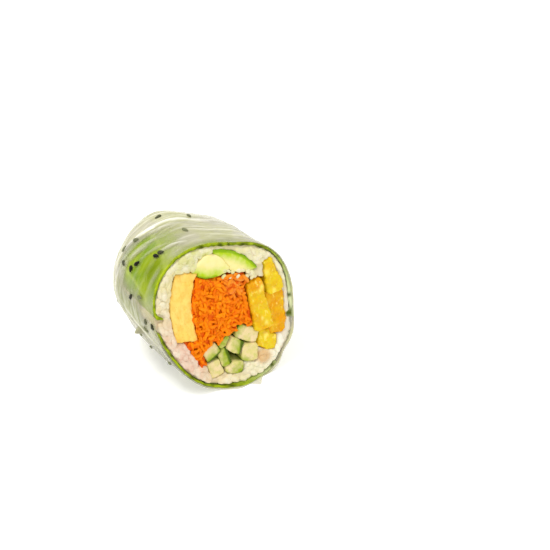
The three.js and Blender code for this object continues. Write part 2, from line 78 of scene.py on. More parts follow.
# How far a slice leans back at the cut and at the closed end
FACE_TILT = math.radians(20)
END_TILT = math.radians(5)
# How far the closed end lies to the right of the cut's middle
DRIFT = -1.5
# How much of the underside is pressed flat, and the middle's height over its lowest point
SINK = 0.5
DROP = 28.0
# How blunt the closed end is above and below; 2 would be round
BLUNT_TOP = 4.2
BLUNT_BOTTOM = 8.4
# Where the frame's origin lies from the cut's middle: to the right and to the back
MIDDLE = (0.1, 16.75)
# The uneven section's waves: height, how many there are round it, and a crest's angle
LOBES = ((1.1, 1, 41), (1.3, 2, -29), (0.8, 3, 22), (0.6, 4, 42), (0.5, 5, 31))
# How far the left side sags, and where; then the height of soft ripples
SAG = 1.2
SAG_ANGLE = math.radians(215)
RIPPLE = 0.22
# The gathered end: how many pleats it has, how deep they are, and its dimple
PLEATS = 8
PLEAT_DEPTH = 1.3
DIMPLE = 1.6
# Corners where the sheet's end was tucked in: height, angle and spread
CORNERS = ((1.9, 99, 17), (1.0, 187, 12), (-0.6, 141, 13))
# Flatter places half way along: how deep, the angle and the spread
FLATS = ((1.7, 40, 24), (0.8, 195, 12))
# Where the roll swells towards the cut: height, angle and spread
SWELLS = ((0.8, 146, 28), (0.3, 90, 24), (0.4, 214, 24), (0.9, -65, 12), (-0.9, -43, 8))

# The layers of the solid model, and the room between two of them
PAPER = 0.6
GAP = 0.3
LEAF = 0.7
LEAF_TOP = PAPER + GAP
LEAF_UNDER = LEAF_TOP + LEAF
RICE_TOP = LEAF_UNDER + GAP

# Where each leaf starts and ends round the roll, and the rise that both reach
LEAF_UPPER = (math.radians(-18), math.radians(166.5))
LEAF_LOWER = (math.radians(178), math.radians(306))
LEAF_LAST_RISE = math.radians(69)
# The lower leaf's lip in front of the cut: reach, angle and spread
LEAF_LIP = (2.6, 274, 15)
# The leaf as it shows: close under the sheet, and hooked in at the upper one's ends
SHOWN_LEAF_TOP = 0.6
SHOWN_LEAF_UNDER = 1.35
HOOK = 1.9
# The middle of the left hook in the cut, and how far the rice grains keep off it
HOOK_AT = (-26.6, 6.6)
HOOK_ROOM = 2.0
# Where the leaf's cut edge is thicker: by how much, the angle and the spread
LEAF_THICK = ((0.7, 88, 34), (0.15, -88, 26), (0.95, 0, 16))
# Dark bits on the inner side of the leaves' cut edge: angle and spread
DARK_SPOTS = (
    (98, 2.0), (81.5, 2.5), (74, 1.5), (61, 4.0), (46, 4.0), (-1.7, 1.5),
    (-15, 4.0), (186, 2.5), (199, 1.5), (226, 3.0), (262, 4.0), (302, 2.0),
)
# How far in the upper leaf's left edge curls, and over which angle
LEAF_CURL = 1.1
CURL_SPREAD = math.radians(18)

# Loose lips of the sheet at the rim: reach, angle and spread; then how uneven the rim is
LIPS = ((2.3, -90, 12), (3.3, -76.5, 4.5))
RIM_WAVE = 0.35


def mix(a, b, share):
    """A number between two others."""
    return a + (b - a) * share


def smooth_step(low, high, value):
    """0 below low, 1 above high, with a soft rise between."""
    share = min(1.0, max(0.0, (value - low) / (high - low)))
    return share * share * (3 - 2 * share)


def turn_between(a, b):
    """The turn from one angle to another, from minus half a turn to half a turn."""
    return (b - a + math.pi) % math.tau - math.pi


def peak(degrees, spread, angle):
    """1 at an angle given in degrees, falling away smoothly to either side of it."""
    return math.exp(-((turn_between(math.radians(degrees), angle) / math.radians(spread)) ** 2))


def bumps(places, angle):
    """What bumps, each given by a height, an angle and a spread, add up to at an angle."""
    return sum(height * peak(degrees, spread, angle) for height, degrees, spread in places)


def section_radius(angle):
    """The uneven section's radius at an angle."""
    return RADIUS + sum(
        height * math.cos(count * (angle - math.radians(crest)))
        for height, count, crest in LOBES
    )


def slice_at(depth):
    """How far along a depth is, as a share, and the section's size and tilt there."""
    along = depth / LENGTH
    return along, 1 - TAPER * along, mix(FACE_TILT, END_TILT, along)


def place(u, v, depth, floor=0.0):
    """A point of roll space on the lying roll, in metres."""
    along, size, tilt = slice_at(depth)
    height = size * (DROP + v) * math.cos(tilt) - SINK
    x = size * u + DRIFT * along - MIDDLE[0]
    y = depth + size * v * math.sin(tilt) - MIDDLE[1]
    return Vector((x, y, max(height, floor))) * MM


def roll_space(point):
    """The u, v and depth of a point on the lying roll, found by closing in on its depth."""
    x, y, z = (value / MM for value in point)
    depth = y + MIDDLE[1]
    v = 0.0
    for _ in range(8):
        _, size, tilt = slice_at(depth)
        v = (z + SINK) / (size * math.cos(tilt)) - DROP
        depth = y + MIDDLE[1] - size * v * math.sin(tilt)
    along, size, _ = slice_at(depth)
    return (x + MIDDLE[0] - DRIFT * along) / size, v, depth


def meridian(angle, rise):
    """Shares of the full width and length at a rise from the rim to the closed end."""
    below = max(0.0, -math.sin(angle))
    power = mix(BLUNT_TOP, BLUNT_BOTTOM, below * below)
    across = max(0.0, math.cos(rise))
    along = math.sin(rise)
    reach = (across**power + along**power) ** (-1 / power)
    return across * reach, along * reach


def body_point(angle, rise, inset, lift=0.0):
    """A point of roll space on the surface an inset below the outer one."""
    width, length = meridian(angle, rise)
    sag = SAG * max(0.0, math.cos(angle - SAG_ANGLE)) ** 2
    ripple = RIPPLE * math.sin(7 * angle + 5 * length)
    radius = (section_radius(angle) - inset) * width + lift
    radius += (sag + ripple - bumps(FLATS, angle)) * math.sin(math.pi * length)
    radius += 2 * width * length**3 * bumps(CORNERS, angle)
    radius += (1 - length) ** 2 * bumps(SWELLS, angle)
    gathered = (1 - width) ** 1.5
    fold = 0.5 - 0.5 * math.cos(PLEATS * angle + 2.4 * width)
    dent = gathered * (DIMPLE + PLEAT_DEPTH * fold * width * 2)
    depth = (LENGTH - inset) * length - dent
    return radius * math.cos(angle), radius * math.sin(angle), depth


def on_body(angle, rise, inset, lift=0.0, reach=0.0):
    """The same point on the lying roll, in metres, some way out in front."""
    u, v, depth = body_point(angle, rise, inset, lift)
    return place(u, v, depth - reach, inset)


def rise_at(angle, depth):
    """The rise at which the outer surface reaches a depth, found by halving."""
    low, high = 0.0, math.radians(80)
    for _ in range(30):
        middle = (low + high) / 2
        if body_point(angle, middle, 0)[2] < depth:
            low = middle
        else:
            high = middle
    return low


def even_rises(count):
    """Rises from the rim to the closed end whose steps along the surface are alike."""
    fine = 2000
    top = math.pi / 2
    lengths, last, total = [], None, 0.0
    for index in range(fine + 1):
        width, length = meridian(top, top * index / fine)
        here = Vector((width * RADIUS, length * LENGTH))
        total += (here - last).length if last else 0.0
        last = here
        lengths.append(total)
    rises, index = [], 0
    for step in range(count + 1):
        while lengths[index] < total * step / count - 1e-9:
            index += 1
        rises.append(top * index / fine)
    return rises


def rim_reach(angle):
    """How far the sheet's rim stands out in front of the cut."""
    wave = math.sin(5 * angle) + math.sin(11 * angle + math.radians(40))
    return bumps(LIPS, angle) + RIM_WAVE * (1 + 0.5 * wave)


def face_radius(angle):
    """The cut face's radius at an angle."""
    return section_radius(angle) + bumps(SWELLS, angle)


def curl_at(angle):
    """How far in the upper leaf's curled edge lies."""
    off = abs(turn_between(angle, LEAF_UPPER[1])) / CURL_SPREAD
    return LEAF_CURL * max(0.0, 1 - off) ** 2


def drawer(seed):
    """A seeded draw: each call gives the next number from 0 to 1."""
    modulus, factor = 2147483647, 48271
    state = [seed]

    def draw(low=0.0, high=1.0):
        state[0] = (state[0] * factor) % modulus
        return low + (high - low) * state[0] / modulus

    return draw


# ------------------------------------------------------------------- the fillings

# The share of their width that the fillings lose along the roll
FILL_TAPER = 0.1
# The outline that the shredded carrot fills
CARROT_EDGE = (
    (-8.5, 17.2), (3.0, 14.0), (11.6, 14.0), (12.8, 8.4), (11.6, -7.4), (4.6, -6.4),
    (-2.0, -10.0), (-8.8, -11.6), (-10.3, -16.8), (-14.2, -17.0), (-18.6, -7.0), (-17.0, 4.0),
)
# The middle of the paler, drier shreds
DRY_AT = (7.5, 11.5)
# The middle of the cut, where no rice lies between the fillings
HEART = (
    (-15.0, 13.0), (-4.0, 19.0), (8.0, 19.0), (12.0, 12.0), (20.6, 8.0), (21.6, -9.0),
    (15.9, -15.0), (7.1, -17.5), (-0.5, -20.8), (-7.8, -19.5), (-13.0, -14.0), (-18.0, 2.0),
)
# Crumbs of rice that lie on the carrot's upper edge
CRUMBS = (
    (3.3, 16.3), (4.9, 15.7), (2.6, 14.2), (4.8, 13.4), (6.6, 14.8), (8.4, 12.6),
    (9.2, 14.6), (10.9, 14.2), (12.2, 11.6), (12.9, 13.2), (14.2, 10.6),
)
# The middle of a patch of rice painted tan, as painted shade
SHADED_PATCH = (12.5, -20.2)
# Each stick: its middle in the cut, its width and height, and its turn in degrees
CUCUMBERS = {
    "cucumber_1": ((7.7, -10.1), (9.6, 5.6), -30),
    "cucumber_2": ((1.7, -12.9), (6.0, 5.4), -38),
    "cucumber_3": ((-8.3, -12.7), (6.6, 4.8), 24),
    "cucumber_4": ((7.1, -17.2), (6.6, 6.4), -12),
    "cucumber_5": ((-3.3, -16.2), (4.4, 7.0), 10),
    "cucumber_6": ((-0.2, -21.0), (7.4, 4.6), -14),
    "cucumber_7": ((-7.8, -19.4), (5.8, 6.2), 8),
    "cucumber_8": ((-2.4, -10.5), (5.6, 3.2), 33),
}
# Each stick's rind: the way it faces in degrees, and how thick the rind and the green
# flesh under it are
RINDS = {
    "cucumber_1": (128, 1.0, 4.6),
    "cucumber_2": (-20, 2.3, 7.0),
    "cucumber_3": (-66, 1.0, 4.0),
    "cucumber_4": (-125, 0.9, 3.4),
    "cucumber_5": (10, 1.5, 8.0),
    "cucumber_6": (-70, 1.8, 7.5),
    "cucumber_7": (80, 0.3, 0.8),
    "cucumber_8": (120, 0.6, 8.0),
}
# The mango sticks, given in the same way
MANGOES = {
    "mango_left": ((14.4, -0.8), (7.4, 18.8), 4),
    "mango_right": ((21.7, -6.0), (7.8, 16.0), -3),
    "mango_top": ((21.9, 8.0), (7.2, 13.4), 13),
    "mango_low": ((15.9, -15.0), (7.6, 7.2), -22),
}
# How pale each stick of mango is, from 0 to 1
MANGO_LIGHT = {"mango_left": 0.6, "mango_right": 0.15, "mango_top": 1.0, "mango_low": 0.95}
# The left stick's deeper end begins at this height in the cut
MANGO_RIPE = 4.5
# The middle of the place where the left and the top stick press together
PRESSED = (18.4, 5.2)
# Painted highlights on the mango: where they lie in the cut and their size
GLINT_SPOTS = (
    (16.9, 6.3, 0.9), (15.9, 5.2, 0.6), (22.2, 3.2, 0.7), (14.8, -5.6, 0.6),
    (16.2, -7.6, 0.7), (15.1, -12.9, 0.7), (20.6, 10.6, 0.8),
)
# Each slice's two tips, then how far its rind and its inner edge bow to the left
AVOCADO_SLICES = {
    "avocado_lower": ((-10.2, 18.6), (5.8, 16.6), -2.6, 6.4),
    "avocado_upper": ((0.2, 24.8), (17.4, 13.2), 2.6, -4.6),
}
# The strip's two ends, its bow and its thickness
OMELETTE = ((-17.0, -5.8), (-12.2, 19.4), 2.7, 9.0)
# The share of the strip's length that one millimetre is
OMELETTE_SHARE = 0.04


def stick_space(stick, u, v):
    """Where a point of the face lies in a stick's own axes, as shares of its half sides."""
    (at_u, at_v), (width, height), turn = stick
    cosine, sine = math.cos(math.radians(turn)), math.sin(math.radians(turn))
    across, up = u - at_u, v - at_v
    right = across * cosine + up * sine
    top = -across * sine + up * cosine
    return 2 * right / width, 2 * top / height


def stick_reach(stick, side_u, side_v):
    """How far a stick reaches from its middle in a direction."""
    (width, height), turn = stick[1], math.radians(stick[2])
    along = abs(side_u * math.cos(turn) + side_v * math.sin(turn))
    over = abs(side_v * math.cos(turn) - side_u * math.sin(turn))
    return width / 2 * along + height / 2 * over


def arc_space(start, end, bow, u, v):
    """How far along an arc between two points a point lies, and how far to its left."""
    way_u, way_v = end[0] - start[0], end[1] - start[1]
    length = math.hypot(way_u, way_v)
    across, up = u - start[0], v - start[1]
    share = (across * way_u + up * way_v) / length**2
    left = (up * way_u - across * way_v) / length
    return share, left - bow * (1 - (2 * share - 1) ** 2)


def inside_outline(outline, u, v):
    """Whether a point of the face lies inside a closed outline."""
    inside = False
    bu, bv = outline[-1]
    for au, av in outline:
        if (av > v) != (bv > v) and u < (bu - au) * (v - av) / (bv - av) + au:
            inside = not inside
        bu, bv = au, av
    return inside


def in_filling(u, v, margin):
    """Whether a point of the face lies in one of the fillings other than the carrot."""
    for stick in (*CUCUMBERS.values(), *MANGOES.values()):
        right, top = stick_space(stick, u, v)
        width, height = stick[1]
        if abs(right) < 1 + 2 * margin / width and abs(top) < 1 + 2 * margin / height:
            return True
    start, end, bow, width = OMELETTE
    share, left = arc_space(start, end, bow, u, v)
    spare = margin * OMELETTE_SHARE
    if -spare < share < 1 + spare and abs(left) < width / 2 + margin:
        return True
    for start, end, rind_bow, inner_bow in AVOCADO_SLICES.values():
        share, left = arc_space(start, end, 0, u, v)
        if 0 < share < 1:
            crown = 1 - (2 * share - 1) ** 2
            low, high = sorted((rind_bow * crown, inner_bow * crown))
            if low - margin < left < high + margin:
                return True
    return False


def fill_scale(depth):
    """How much a filling has narrowed at a depth."""
    along = min(0.999, max(0.0, depth / (LENGTH - RICE_TOP)))
    return (1 - FILL_TAPER * along) * (1 - along**BLUNT_TOP) ** (1 / BLUNT_TOP)


def followed(u, v, depth):
    """The place in the cut that a filling's inside point lies behind."""
    size = fill_scale(depth)
    return u / size, v / size


def beyond(u, v, turn, ahead, left):
    """A point of the face some way ahead of another in a direction, and to its left."""
    cosine, sine = math.cos(turn), math.sin(turn)
    return u + ahead * cosine - left * sine, v + ahead * sine + left * cosine


def crowded(taken, u, v, room):
    """Whether a place is too close to one of those that are taken."""
    return any(abs(x - u) + abs(y - v) < room for x, y in taken)


# ------------------------------------------------------------------- mesh helpers

# A loose bit with fewer corners than this is a speck of the remesh
SPECK_POINTS = 100
# How many rounds soften the corners of a mesh
SOFT_ROUNDS = 2
# Points closer than this are merged, and edges shorter than the second are closed
MERGE, CLOSE = 1e-7, 1e-8
# A solid's corners closer than this are merged before it is softened
SOLID_MERGE = 1e-6


def mesh_from(name, points, faces):
    """A smooth-shaded mesh with merged corners and its faces pointing out."""
    mesh = bpy.data.meshes.new(name)
    mesh.from_pydata([tuple(point) for point in points], [], faces)
    tidy = bmesh.new()
    tidy.from_mesh(mesh)
    bmesh.ops.remove_doubles(tidy, verts=tidy.verts, dist=MERGE)
    bmesh.ops.dissolve_degenerate(tidy, edges=tidy.edges, dist=CLOSE)
    bmesh.ops.recalc_face_normals(tidy, faces=tidy.faces)
    tidy.to_mesh(mesh)
    tidy.free()
    mesh.shade_smooth()
    return mesh


def set_values(mesh, name, values):
    """Stores one number for each corner, for the material to read."""
    attribute = mesh.attributes.new(name, "FLOAT", "POINT")
    attribute.data.foreach_set("value", values)


def store_values(mesh, points, lists):
    """Stores numbers given for the first points on the merged mesh's corners."""

    def key(point):
        return tuple(round(value / (2 * MERGE)) for value in point)

    by_place = {key(point): index for index, point in enumerate(points)}
    found = [by_place.get(key(vertex.co), 0) for vertex in mesh.vertices]
    for name, values in lists.items():
        set_values(mesh, name, [values[index] for index in found])


def note_values(mesh, names, measure):
    """Stores the numbers that measure(u, v, depth) gives for each corner."""
    rows = [measure(*roll_space(vertex.co)) for vertex in mesh.vertices]
    for name, values in zip(names, zip(*rows)):
        set_values(mesh, name, values)


def skin_mesh(name, rows, columns, around, corner, names):
    """A thin closed skin over a grid, with named numbers on it for the material.

    corner(row, column) gives an outer point, an inner point and their numbers, and
    the last name may be "inner", a number that is 1 on the inner side alone.
    Around joins the last column to the first, and the last row is then a single
    point, so that only the front edge is open and is closed by a rim.
    """
    cells = [corner(row, column) for row in range(rows) for column in range(columns)]
    outer, inner, *notes = zip(*cells)
    points, under = outer + inner, len(outer)
    wraps = columns if around else columns - 1
    faces = []

    def index(row, column):
        return row * columns + column % columns

    for row in range(rows - 1):
        for column in range(wraps):
            near = index(row, column), index(row, column + 1)
            far = index(row + 1, column + 1), index(row + 1, column)
            faces.append(near + far)
            faces.append(tuple(under + spot for spot in reversed(near + far)))
    edges = [[(0, column), (0, column + 1)] for column in range(wraps)]
    if not around:
        last = rows - 1
        edges += [[(last, column + 1), (last, column)] for column in range(wraps)]
        edges += [[(row + 1, 0), (row, 0)] for row in range(last)]
        edges += [[(row, wraps), (row + 1, wraps)] for row in range(last)]
    for start, end in edges:
        a, b = index(*start), index(*end)
        faces.append((b, a, under + a, under + b))
    mesh = mesh_from(name, points, faces)
    lists = {name: values * 2 for name, values in zip(names, notes)}
    if "inner" in names:
        lists["inner"] = [0.0] * under + [1.0] * under
    store_values(mesh, points, lists)
    return mesh


class Heap:
    """Small tubes with closed tips, gathered into one mesh, each with its own numbers."""

    def __init__(self, around, along, *names):
        self.around, self.along = around, along
        self.points, self.faces = [], []
        self.lists = {name: [] for name in names}

    def add(self, corner, *notes):
        """Adds a tube whose points corner(share of its length, spin) gives."""
        first = len(self.points)
        for ring in range(self.along + 1):
            for step in range(self.around):
                spin = math.tau * step / self.around
                self.points.append(corner(ring / self.along, spin))
        for ring in range(self.along):
            low = first + ring * self.around
            high = low + self.around
            for step in range(self.around):
                on = (step + 1) % self.around
                self.faces.append((low + step, low + on, high + on, high + step))
        for values, note in zip(self.lists.values(), notes):
            values += [note] * (len(self.points) - first)

    def mesh(self, name):
        """All the tubes as one mesh."""
        mesh = mesh_from(name, self.points, self.faces)
        store_values(mesh, self.points, self.lists)
        return mesh


def drop_specks(mesh):
    """Takes off the loose bits of a few faces that a remesh can leave."""
    shape = bmesh.new()
    shape.from_mesh(mesh)
    seen, specks = set(), []
    for start in shape.verts:
        if start in seen:
            continue
        seen.add(start)
        island = [start]
        for vertex in island:
            for edge in vertex.link_edges:
                other = edge.other_vert(vertex)
                if other not in seen:
                    seen.add(other)
                    island.append(other)
        if len(island) < SPECK_POINTS:
            specks += island
    bmesh.ops.delete(shape, geom=specks, context="VERTS")
    shape.to_mesh(mesh)
    shape.free()


def softened(node, cell, swell=None, rounds=SOFT_ROUNDS):
    """The form of a solid with its corners rounded, as an even fine mesh.

    Cells and swell(place in mm), which says how far each corner moves out, are in mm.
    """
    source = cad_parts[node].data.copy()
    tidy = bmesh.new()
    tidy.from_mesh(source)
    bmesh.ops.remove_doubles(tidy, verts=tidy.verts, dist=SOLID_MERGE)
    tidy.to_mesh(source)
    tidy.free()
    work = bpy.data.objects.new("work", source)
    bpy.context.scene.collection.objects.link(work)
    remesh = work.modifiers.new("voxels", "REMESH")
    remesh.mode = "VOXEL"
    remesh.voxel_size = cell * MM
    rounding = work.modifiers.new("rounding", "SMOOTH")
    rounding.factor = 0.5
    rounding.iterations = rounds
    seen = work.evaluated_get(bpy.context.evaluated_depsgraph_get())
    mesh = bpy.data.meshes.new_from_object(seen)
    bpy.data.objects.remove(work)
    drop_specks(mesh)
    mesh.materials.clear()
    mesh.shade_smooth()
    if swell:
        moves = [vertex.normal * swell(vertex.co / MM) * MM for vertex in mesh.vertices]
        for vertex, move in zip(mesh.vertices, moves):
            vertex.co += move
        mesh.update()
    return mesh


def add_piece(name, mesh, material, slot, *nodes):
    """Shows a mesh as a piece of the roll that stands for these solids."""
    piece = bpy.data.objects.new(name, mesh)
    mesh.name = name
    bpy.context.scene.collection.objects.link(piece)
    mesh.materials.append(material)
    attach(piece, "root")
    if nodes:
        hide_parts(*nodes)


# --------------------------------------------------------------- material helpers


def paint(red, green, blue):
    """A colour given as it looks on a screen, 0 to 255, in the renderer's own scale."""

    def straight(value):
        share = value / 255
        return share / 12.92 if share <= 0.04045 else ((share + 0.055) / 1.055) ** 2.4

    return straight(red), straight(green), straight(blue)


class Finish:
    """A material and the few kinds of node that the roll's finishes are made of."""

    def __init__(self, name, **sockets):
        self.material = bpy.data.materials.new(name)
        self.material.use_nodes = True
        self.tree = self.material.node_tree
        self.shader = self.tree.nodes["Principled BSDF"]
        for socket, value in sockets.items():
            self.shader.inputs[socket.replace("_", " ")].default_value = value
        self.place = self.add("ShaderNodeTexCoord").outputs["Object"]

    def add(self, kind, **settings):
        """A new node."""
        node = self.tree.nodes.new(kind)
        for setting, value in settings.items():
            setattr(node, setting, value)
        return node

    def link(self, output, socket):
        """Joins an output to a socket."""
        self.tree.links.new(output, socket)

    def feed(self, name, output):
        """Drives one of the shader's sockets."""
        self.link(output, self.shader.inputs[name])

    def value(self, name):
        """A number stored on the mesh."""
        return self.add("ShaderNodeAttribute", attribute_name=name).outputs["Fac"]

    def noise(self, size, detail=3.0, stretch=(1, 1, 1)):
        """Soft noise with spots of this many millimetres."""
        spread = self.add("ShaderNodeMapping")
        spread.inputs["Scale"].default_value = tuple(1 / s for s in stretch)
        self.link(self.place, spread.inputs["Vector"])
        texture = self.add("ShaderNodeTexNoise")
        texture.inputs["Scale"].default_value = 1 / (size * MM)
        texture.inputs["Detail"].default_value = detail
        self.link(spread.outputs["Vector"], texture.inputs["Vector"])
        return texture.outputs["Fac"]

    def cells(self, size):
        """Cell distances, for pores and specks of this many millimetres."""
        texture = self.add("ShaderNodeTexVoronoi")
        texture.inputs["Scale"].default_value = 1 / (size * MM)
        self.link(self.place, texture.inputs["Vector"])
        return texture.outputs["Distance"]

    def span(self, value, low, high, to_low=0.0, to_high=1.0):
        """Stretches a number's range, held at both ends."""
        node = self.add("ShaderNodeMapRange")
        limits = {"From Min": low, "From Max": high, "To Min": to_low, "To Max": to_high}
        for socket, number in limits.items():
            node.inputs[socket].default_value = number
        self.link(value, node.inputs["Value"])
        return node.outputs["Result"]

    def patches(self, size, low, high, to_low=0.0, to_high=1.0, detail=3.0, stretch=(1, 1, 1)):
        """Noise whose range is stretched, for spots with softer or sharper edges."""
        return self.span(self.noise(size, detail, stretch), low, high, to_low, to_high)

    def sum(self, a, b, operation="ADD"):
        """Two numbers joined by an operation; either may be a plain number."""
        node = self.add("ShaderNodeMath", operation=operation, use_clamp=operation == "ADD")
        for socket, part in zip(node.inputs, (a, b)):
            if isinstance(part, (int, float)):
                socket.default_value = part
            else:
                self.link(part, socket)
        return node.outputs["Value"]

    def times(self, a, b):
        """Two numbers multiplied."""
        return self.sum(a, b, "MULTIPLY")

    def blend(self, share, a, b):
        """Colour a where share is 0 and b where it is 1."""
        node = self.add("ShaderNodeMix", data_type="RGBA")
        self.link(share, node.inputs["Factor"])
        for index, colour in ((6, a), (7, b)):
            if isinstance(colour, bpy.types.NodeSocket):
                self.link(colour, node.inputs[index])
            else:
                node.inputs[index].default_value = (*colour, 1)
        return node.outputs[2]

    def colour(self, share, a, b):
        """Gives the surface a blend of two colours."""
        self.feed("Base Color", self.blend(share, a, b))

    def relief(self, height, strength, distance):
        """Fine relief that the mesh is too coarse for, with its height in mm."""
        node = self.add("ShaderNodeBump")
        node.inputs["Strength"].default_value = strength
        node.inputs["Distance"].default_value = distance * MM
        self.link(height, node.inputs["Height"])
        self.feed("Normal", node.outputs["Normal"])


# ------------------------------------------------------------ sizes and colours


def size_property(name, description, default, high):
    """A length in millimetres that a user can change."""
    return FloatProperty(name=name, description=description, default=default, min=0, max=high)


def colour_property(name, description, *screen):
    """A colour that a user can change, given as it looks on a screen."""
    colour = {"size": 3, "subtype": "COLOR", "min": 0, "max": 1}
    return FloatVectorProperty(
        name=name, description=description, default=paint(*screen), **colour
    )


class SheetLook(bpy.types.PropertyGroup):
    """The moist sheet and its seeds"""

    thickness: size_property("Thickness", "Thickness of the moist sheet, in mm", 0.35, 0.6)
    fold_height: size_property("Fold height", "Height of its folds, in mm", 0.45, 1.0)
    tag_height: size_property("Tag height", "How far its loose tag stands off, in mm", 3.0, 4.0)
    seed_length: size_property("Seed length", "Length of a sesame seed, in mm", 2.8, 4.0)
    haze: colour_property("Haze", "Colour where it is milky", 207, 205, 156)
    pale: colour_property("Pale haze", "Colour of its paler patches", 210, 205, 176)
    # Painted shade for the sheet low on the left, on its underside
    low_shade: colour_property("Low haze", "Colour low on the left", 168, 163, 142)
    doubled: colour_property("Doubled", "Colour where it lies double", 146, 150, 88)
    # The fold colour is partly the milky creasing of the sheet and partly painted highlight
    fold: colour_property("Fold", "Colour where it is folded", 244, 241, 226)
    # Painted shade for the valleys beside the folds
    crease_shade: colour_property("Crease", "Colour of the creases", 150, 150, 96)
    seed: colour_property("Seed", "Colour of the sesame seeds", 16, 15, 8)
    seed_light: colour_property("Pale seed", "Colour of their paler spots", 38, 36, 24)
    seed_veil: colour_property("Veiled seed", "Colour of a seed under the haze", 150, 154, 112)


class LeafLook(bpy.types.PropertyGroup):
    """The green leaves under the sheet"""

    green: colour_property("Green", "Colour of the blade", 152, 170, 24)
    cool: colour_property("Cool green", "Colour of its cooler patches", 122, 152, 26)
    # Also the painted shade on the inner part of the leaf's cut edge
    deep: colour_property("Deep green", "Colour of the darkest patch", 110, 130, 0)
    rib: colour_property("Rib", "Colour of the ribs", 172, 188, 76)
    edge: colour_property("Edge", "Colour of the cut edge", 174, 192, 26)
    # Also painted light on the leaf's inner side to the right
    pale: colour_property("Pale edge", "Colour of the edge to the right", 226, 230, 184)
    dark_spot: colour_property("Bruise", "Colour of the dark bits on the edge", 72, 84, 2)


class RiceLook(bpy.types.PropertyGroup):
    """The cooked rice"""

    grains: IntProperty(name="Grains", description="Grains at the cut", default=420, min=0)
    grain_length: size_property("Grain length", "Length of a cooked grain, in mm", 4.4, 8.0)
    grain_width: size_property("Grain width", "Width of a cooked grain, in mm", 2.5, 4.0)
    cream: colour_property("Cream", "Colour of the grains on top", 222, 213, 160)
    blush: colour_property("Blush", "Colour of the grains low on the left", 224, 186, 162)
    white: colour_property("White", "Colour of the grains on the right", 242, 238, 220)
    mossy: colour_property("Mossy", "Colour of the grains under the leaf", 200, 202, 114)
    pale: colour_property("Pale", "Colour of the palest grains", 236, 228, 204)
    # Painted shade between the grains, on the rice bed
    between: colour_property("Between", "Colour between the grains", 184, 160, 124)
    # Painted shade for one patch of rice
    tan: colour_property("Tan", "Colour of the sauced patch", 216, 180, 128)


class FillingLook(bpy.types.PropertyGroup):
    """The fillings"""

    shreds: IntProperty(name="Shreds", description="Carrot shreds at the cut", default=430, min=0)
    shred_width: size_property("Shred width", "Width of a carrot shred, in mm", 1.35, 3.0)
    carrot: colour_property("Carrot", "Colour of the shreds", 246, 144, 4)
    carrot_deep: colour_property("Deep carrot", "Colour of the deeper shreds", 236, 108, 0)
    # Painted shade for the packed carrot that shows between the shreds
    carrot_gap_shade: colour_property("Dark carrot", "Colour between the shreds", 214, 78, 0)
    carrot_dry: colour_property("Dry carrot", "Colour of the dry shreds", 232, 158, 76)
    egg: colour_property("Egg", "Colour of the omelette", 250, 214, 112)
    egg_yolk: colour_property("Yolk", "Colour where it holds more yolk", 252, 209, 98)
    egg_spot: colour_property("Browned egg", "Colour of its pores", 238, 176, 58)
    avocado: colour_property("Avocado", "Colour of the flesh", 246, 230, 150)
    avocado_pale: colour_property("Pale avocado", "Colour of its paler flesh", 246, 232, 170)
    avocado_rind: colour_property("Avocado rim", "Colour by the rind", 176, 204, 24)
    avocado_skin: colour_property("Avocado edge", "Colour at its edge", 118, 160, 4)
    mango: colour_property("Mango", "Colour of the flesh", 228, 160, 0)
    mango_light: colour_property("Pale mango", "Colour of the paler flesh", 230, 200, 30)
    # Painted highlight: pale streaks for glints on the wet flesh
    mango_glint: colour_property("Mango fibres", "Colour of its pale fibres", 255, 232, 110)
    # Painted shade for the mango's hollows
    mango_shade: colour_property("Deep mango", "Colour of its hollows", 214, 142, 0)
    cucumber: colour_property("Cucumber", "Colour of the flesh", 236, 212, 164)
    cucumber_yellow: colour_property("Yellow flesh", "Colour of its other patches", 218, 206, 128)
    # These two colours also give the painted shade on the sticks' sides behind the cut
    cucumber_green: colour_property("Green flesh", "Colour by the rind", 152, 172, 34)
    cucumber_rind: colour_property("Cucumber rind", "Colour of the rind", 76, 100, 4)


GROUPS = {
    "roll_sheet": SheetLook,
    "roll_leaf": LeafLook,
    "roll_rice": RiceLook,
    "roll_filling": FillingLook,
}


# -------------------------------------------------------------------- the sheet

# The main folds of the sheet: where each starts and ends, as degrees round the roll
# and depth in mm, then its bow in mm, its strength and its half width in mm
FOLDS = (
    (156, 34.0, 66, 21.0, -2.6, 1.0, 0.9),
    (150, 30.5, 92, 18.5, -1.0, 0.6, 0.5),
    (170, 32.0, 130, 25.0, 0.0, 0.8, 0.6),
    (162, 27.5, 138, 23.5, 0.3, 0.7, 0.5),
    (147, 25.0, 112, 15.5, 0.6, 0.6, 0.45),
    (144, 23.0, 126, 18.5, 0.4, 0.9, 0.45),
    (126, 9.2, 104, 4.6, 0.3, 0.9, 0.45),
    (140, 17.5, 112, 8.0, 0.8, 0.45, 0.4),
    (177, 24.0, 199, 6.0, 1.0, 0.6, 0.6),
    (182, 30.0, 204, 17.0, -0.6, 0.8, 0.6),
    (176, 26.0, 198, 9.0, 0.5, 0.6, 0.5),
    (120, 36.5, 58, 27.5, -1.4, 0.7, 0.6),
    (100, 13.5, 40, 12.0, -1.2, 0.5, 0.5),
    (92, 8.5, 30, 5.5, -0.8, 0.45, 0.4),
    (40, 23.0, -30, 18.0, 1.5, 0.8, 0.7),
    (20, 9.0, -46, 13.0, 1.0, 0.7, 0.5),
    (60, 33.0, -40, 29.0, 1.6, 0.8, 0.7),
    (-10, 36.0, -80, 31.0, 1.0, 0.7, 0.6),
    (240, 26.0, 300, 22.0, 0.8, 0.7, 0.6),
    (215, 12.0, 262, 9.0, 0.6, 0.6, 0.5),
)
FINE_FOLDS = 56
FOLD_DRAW = 77
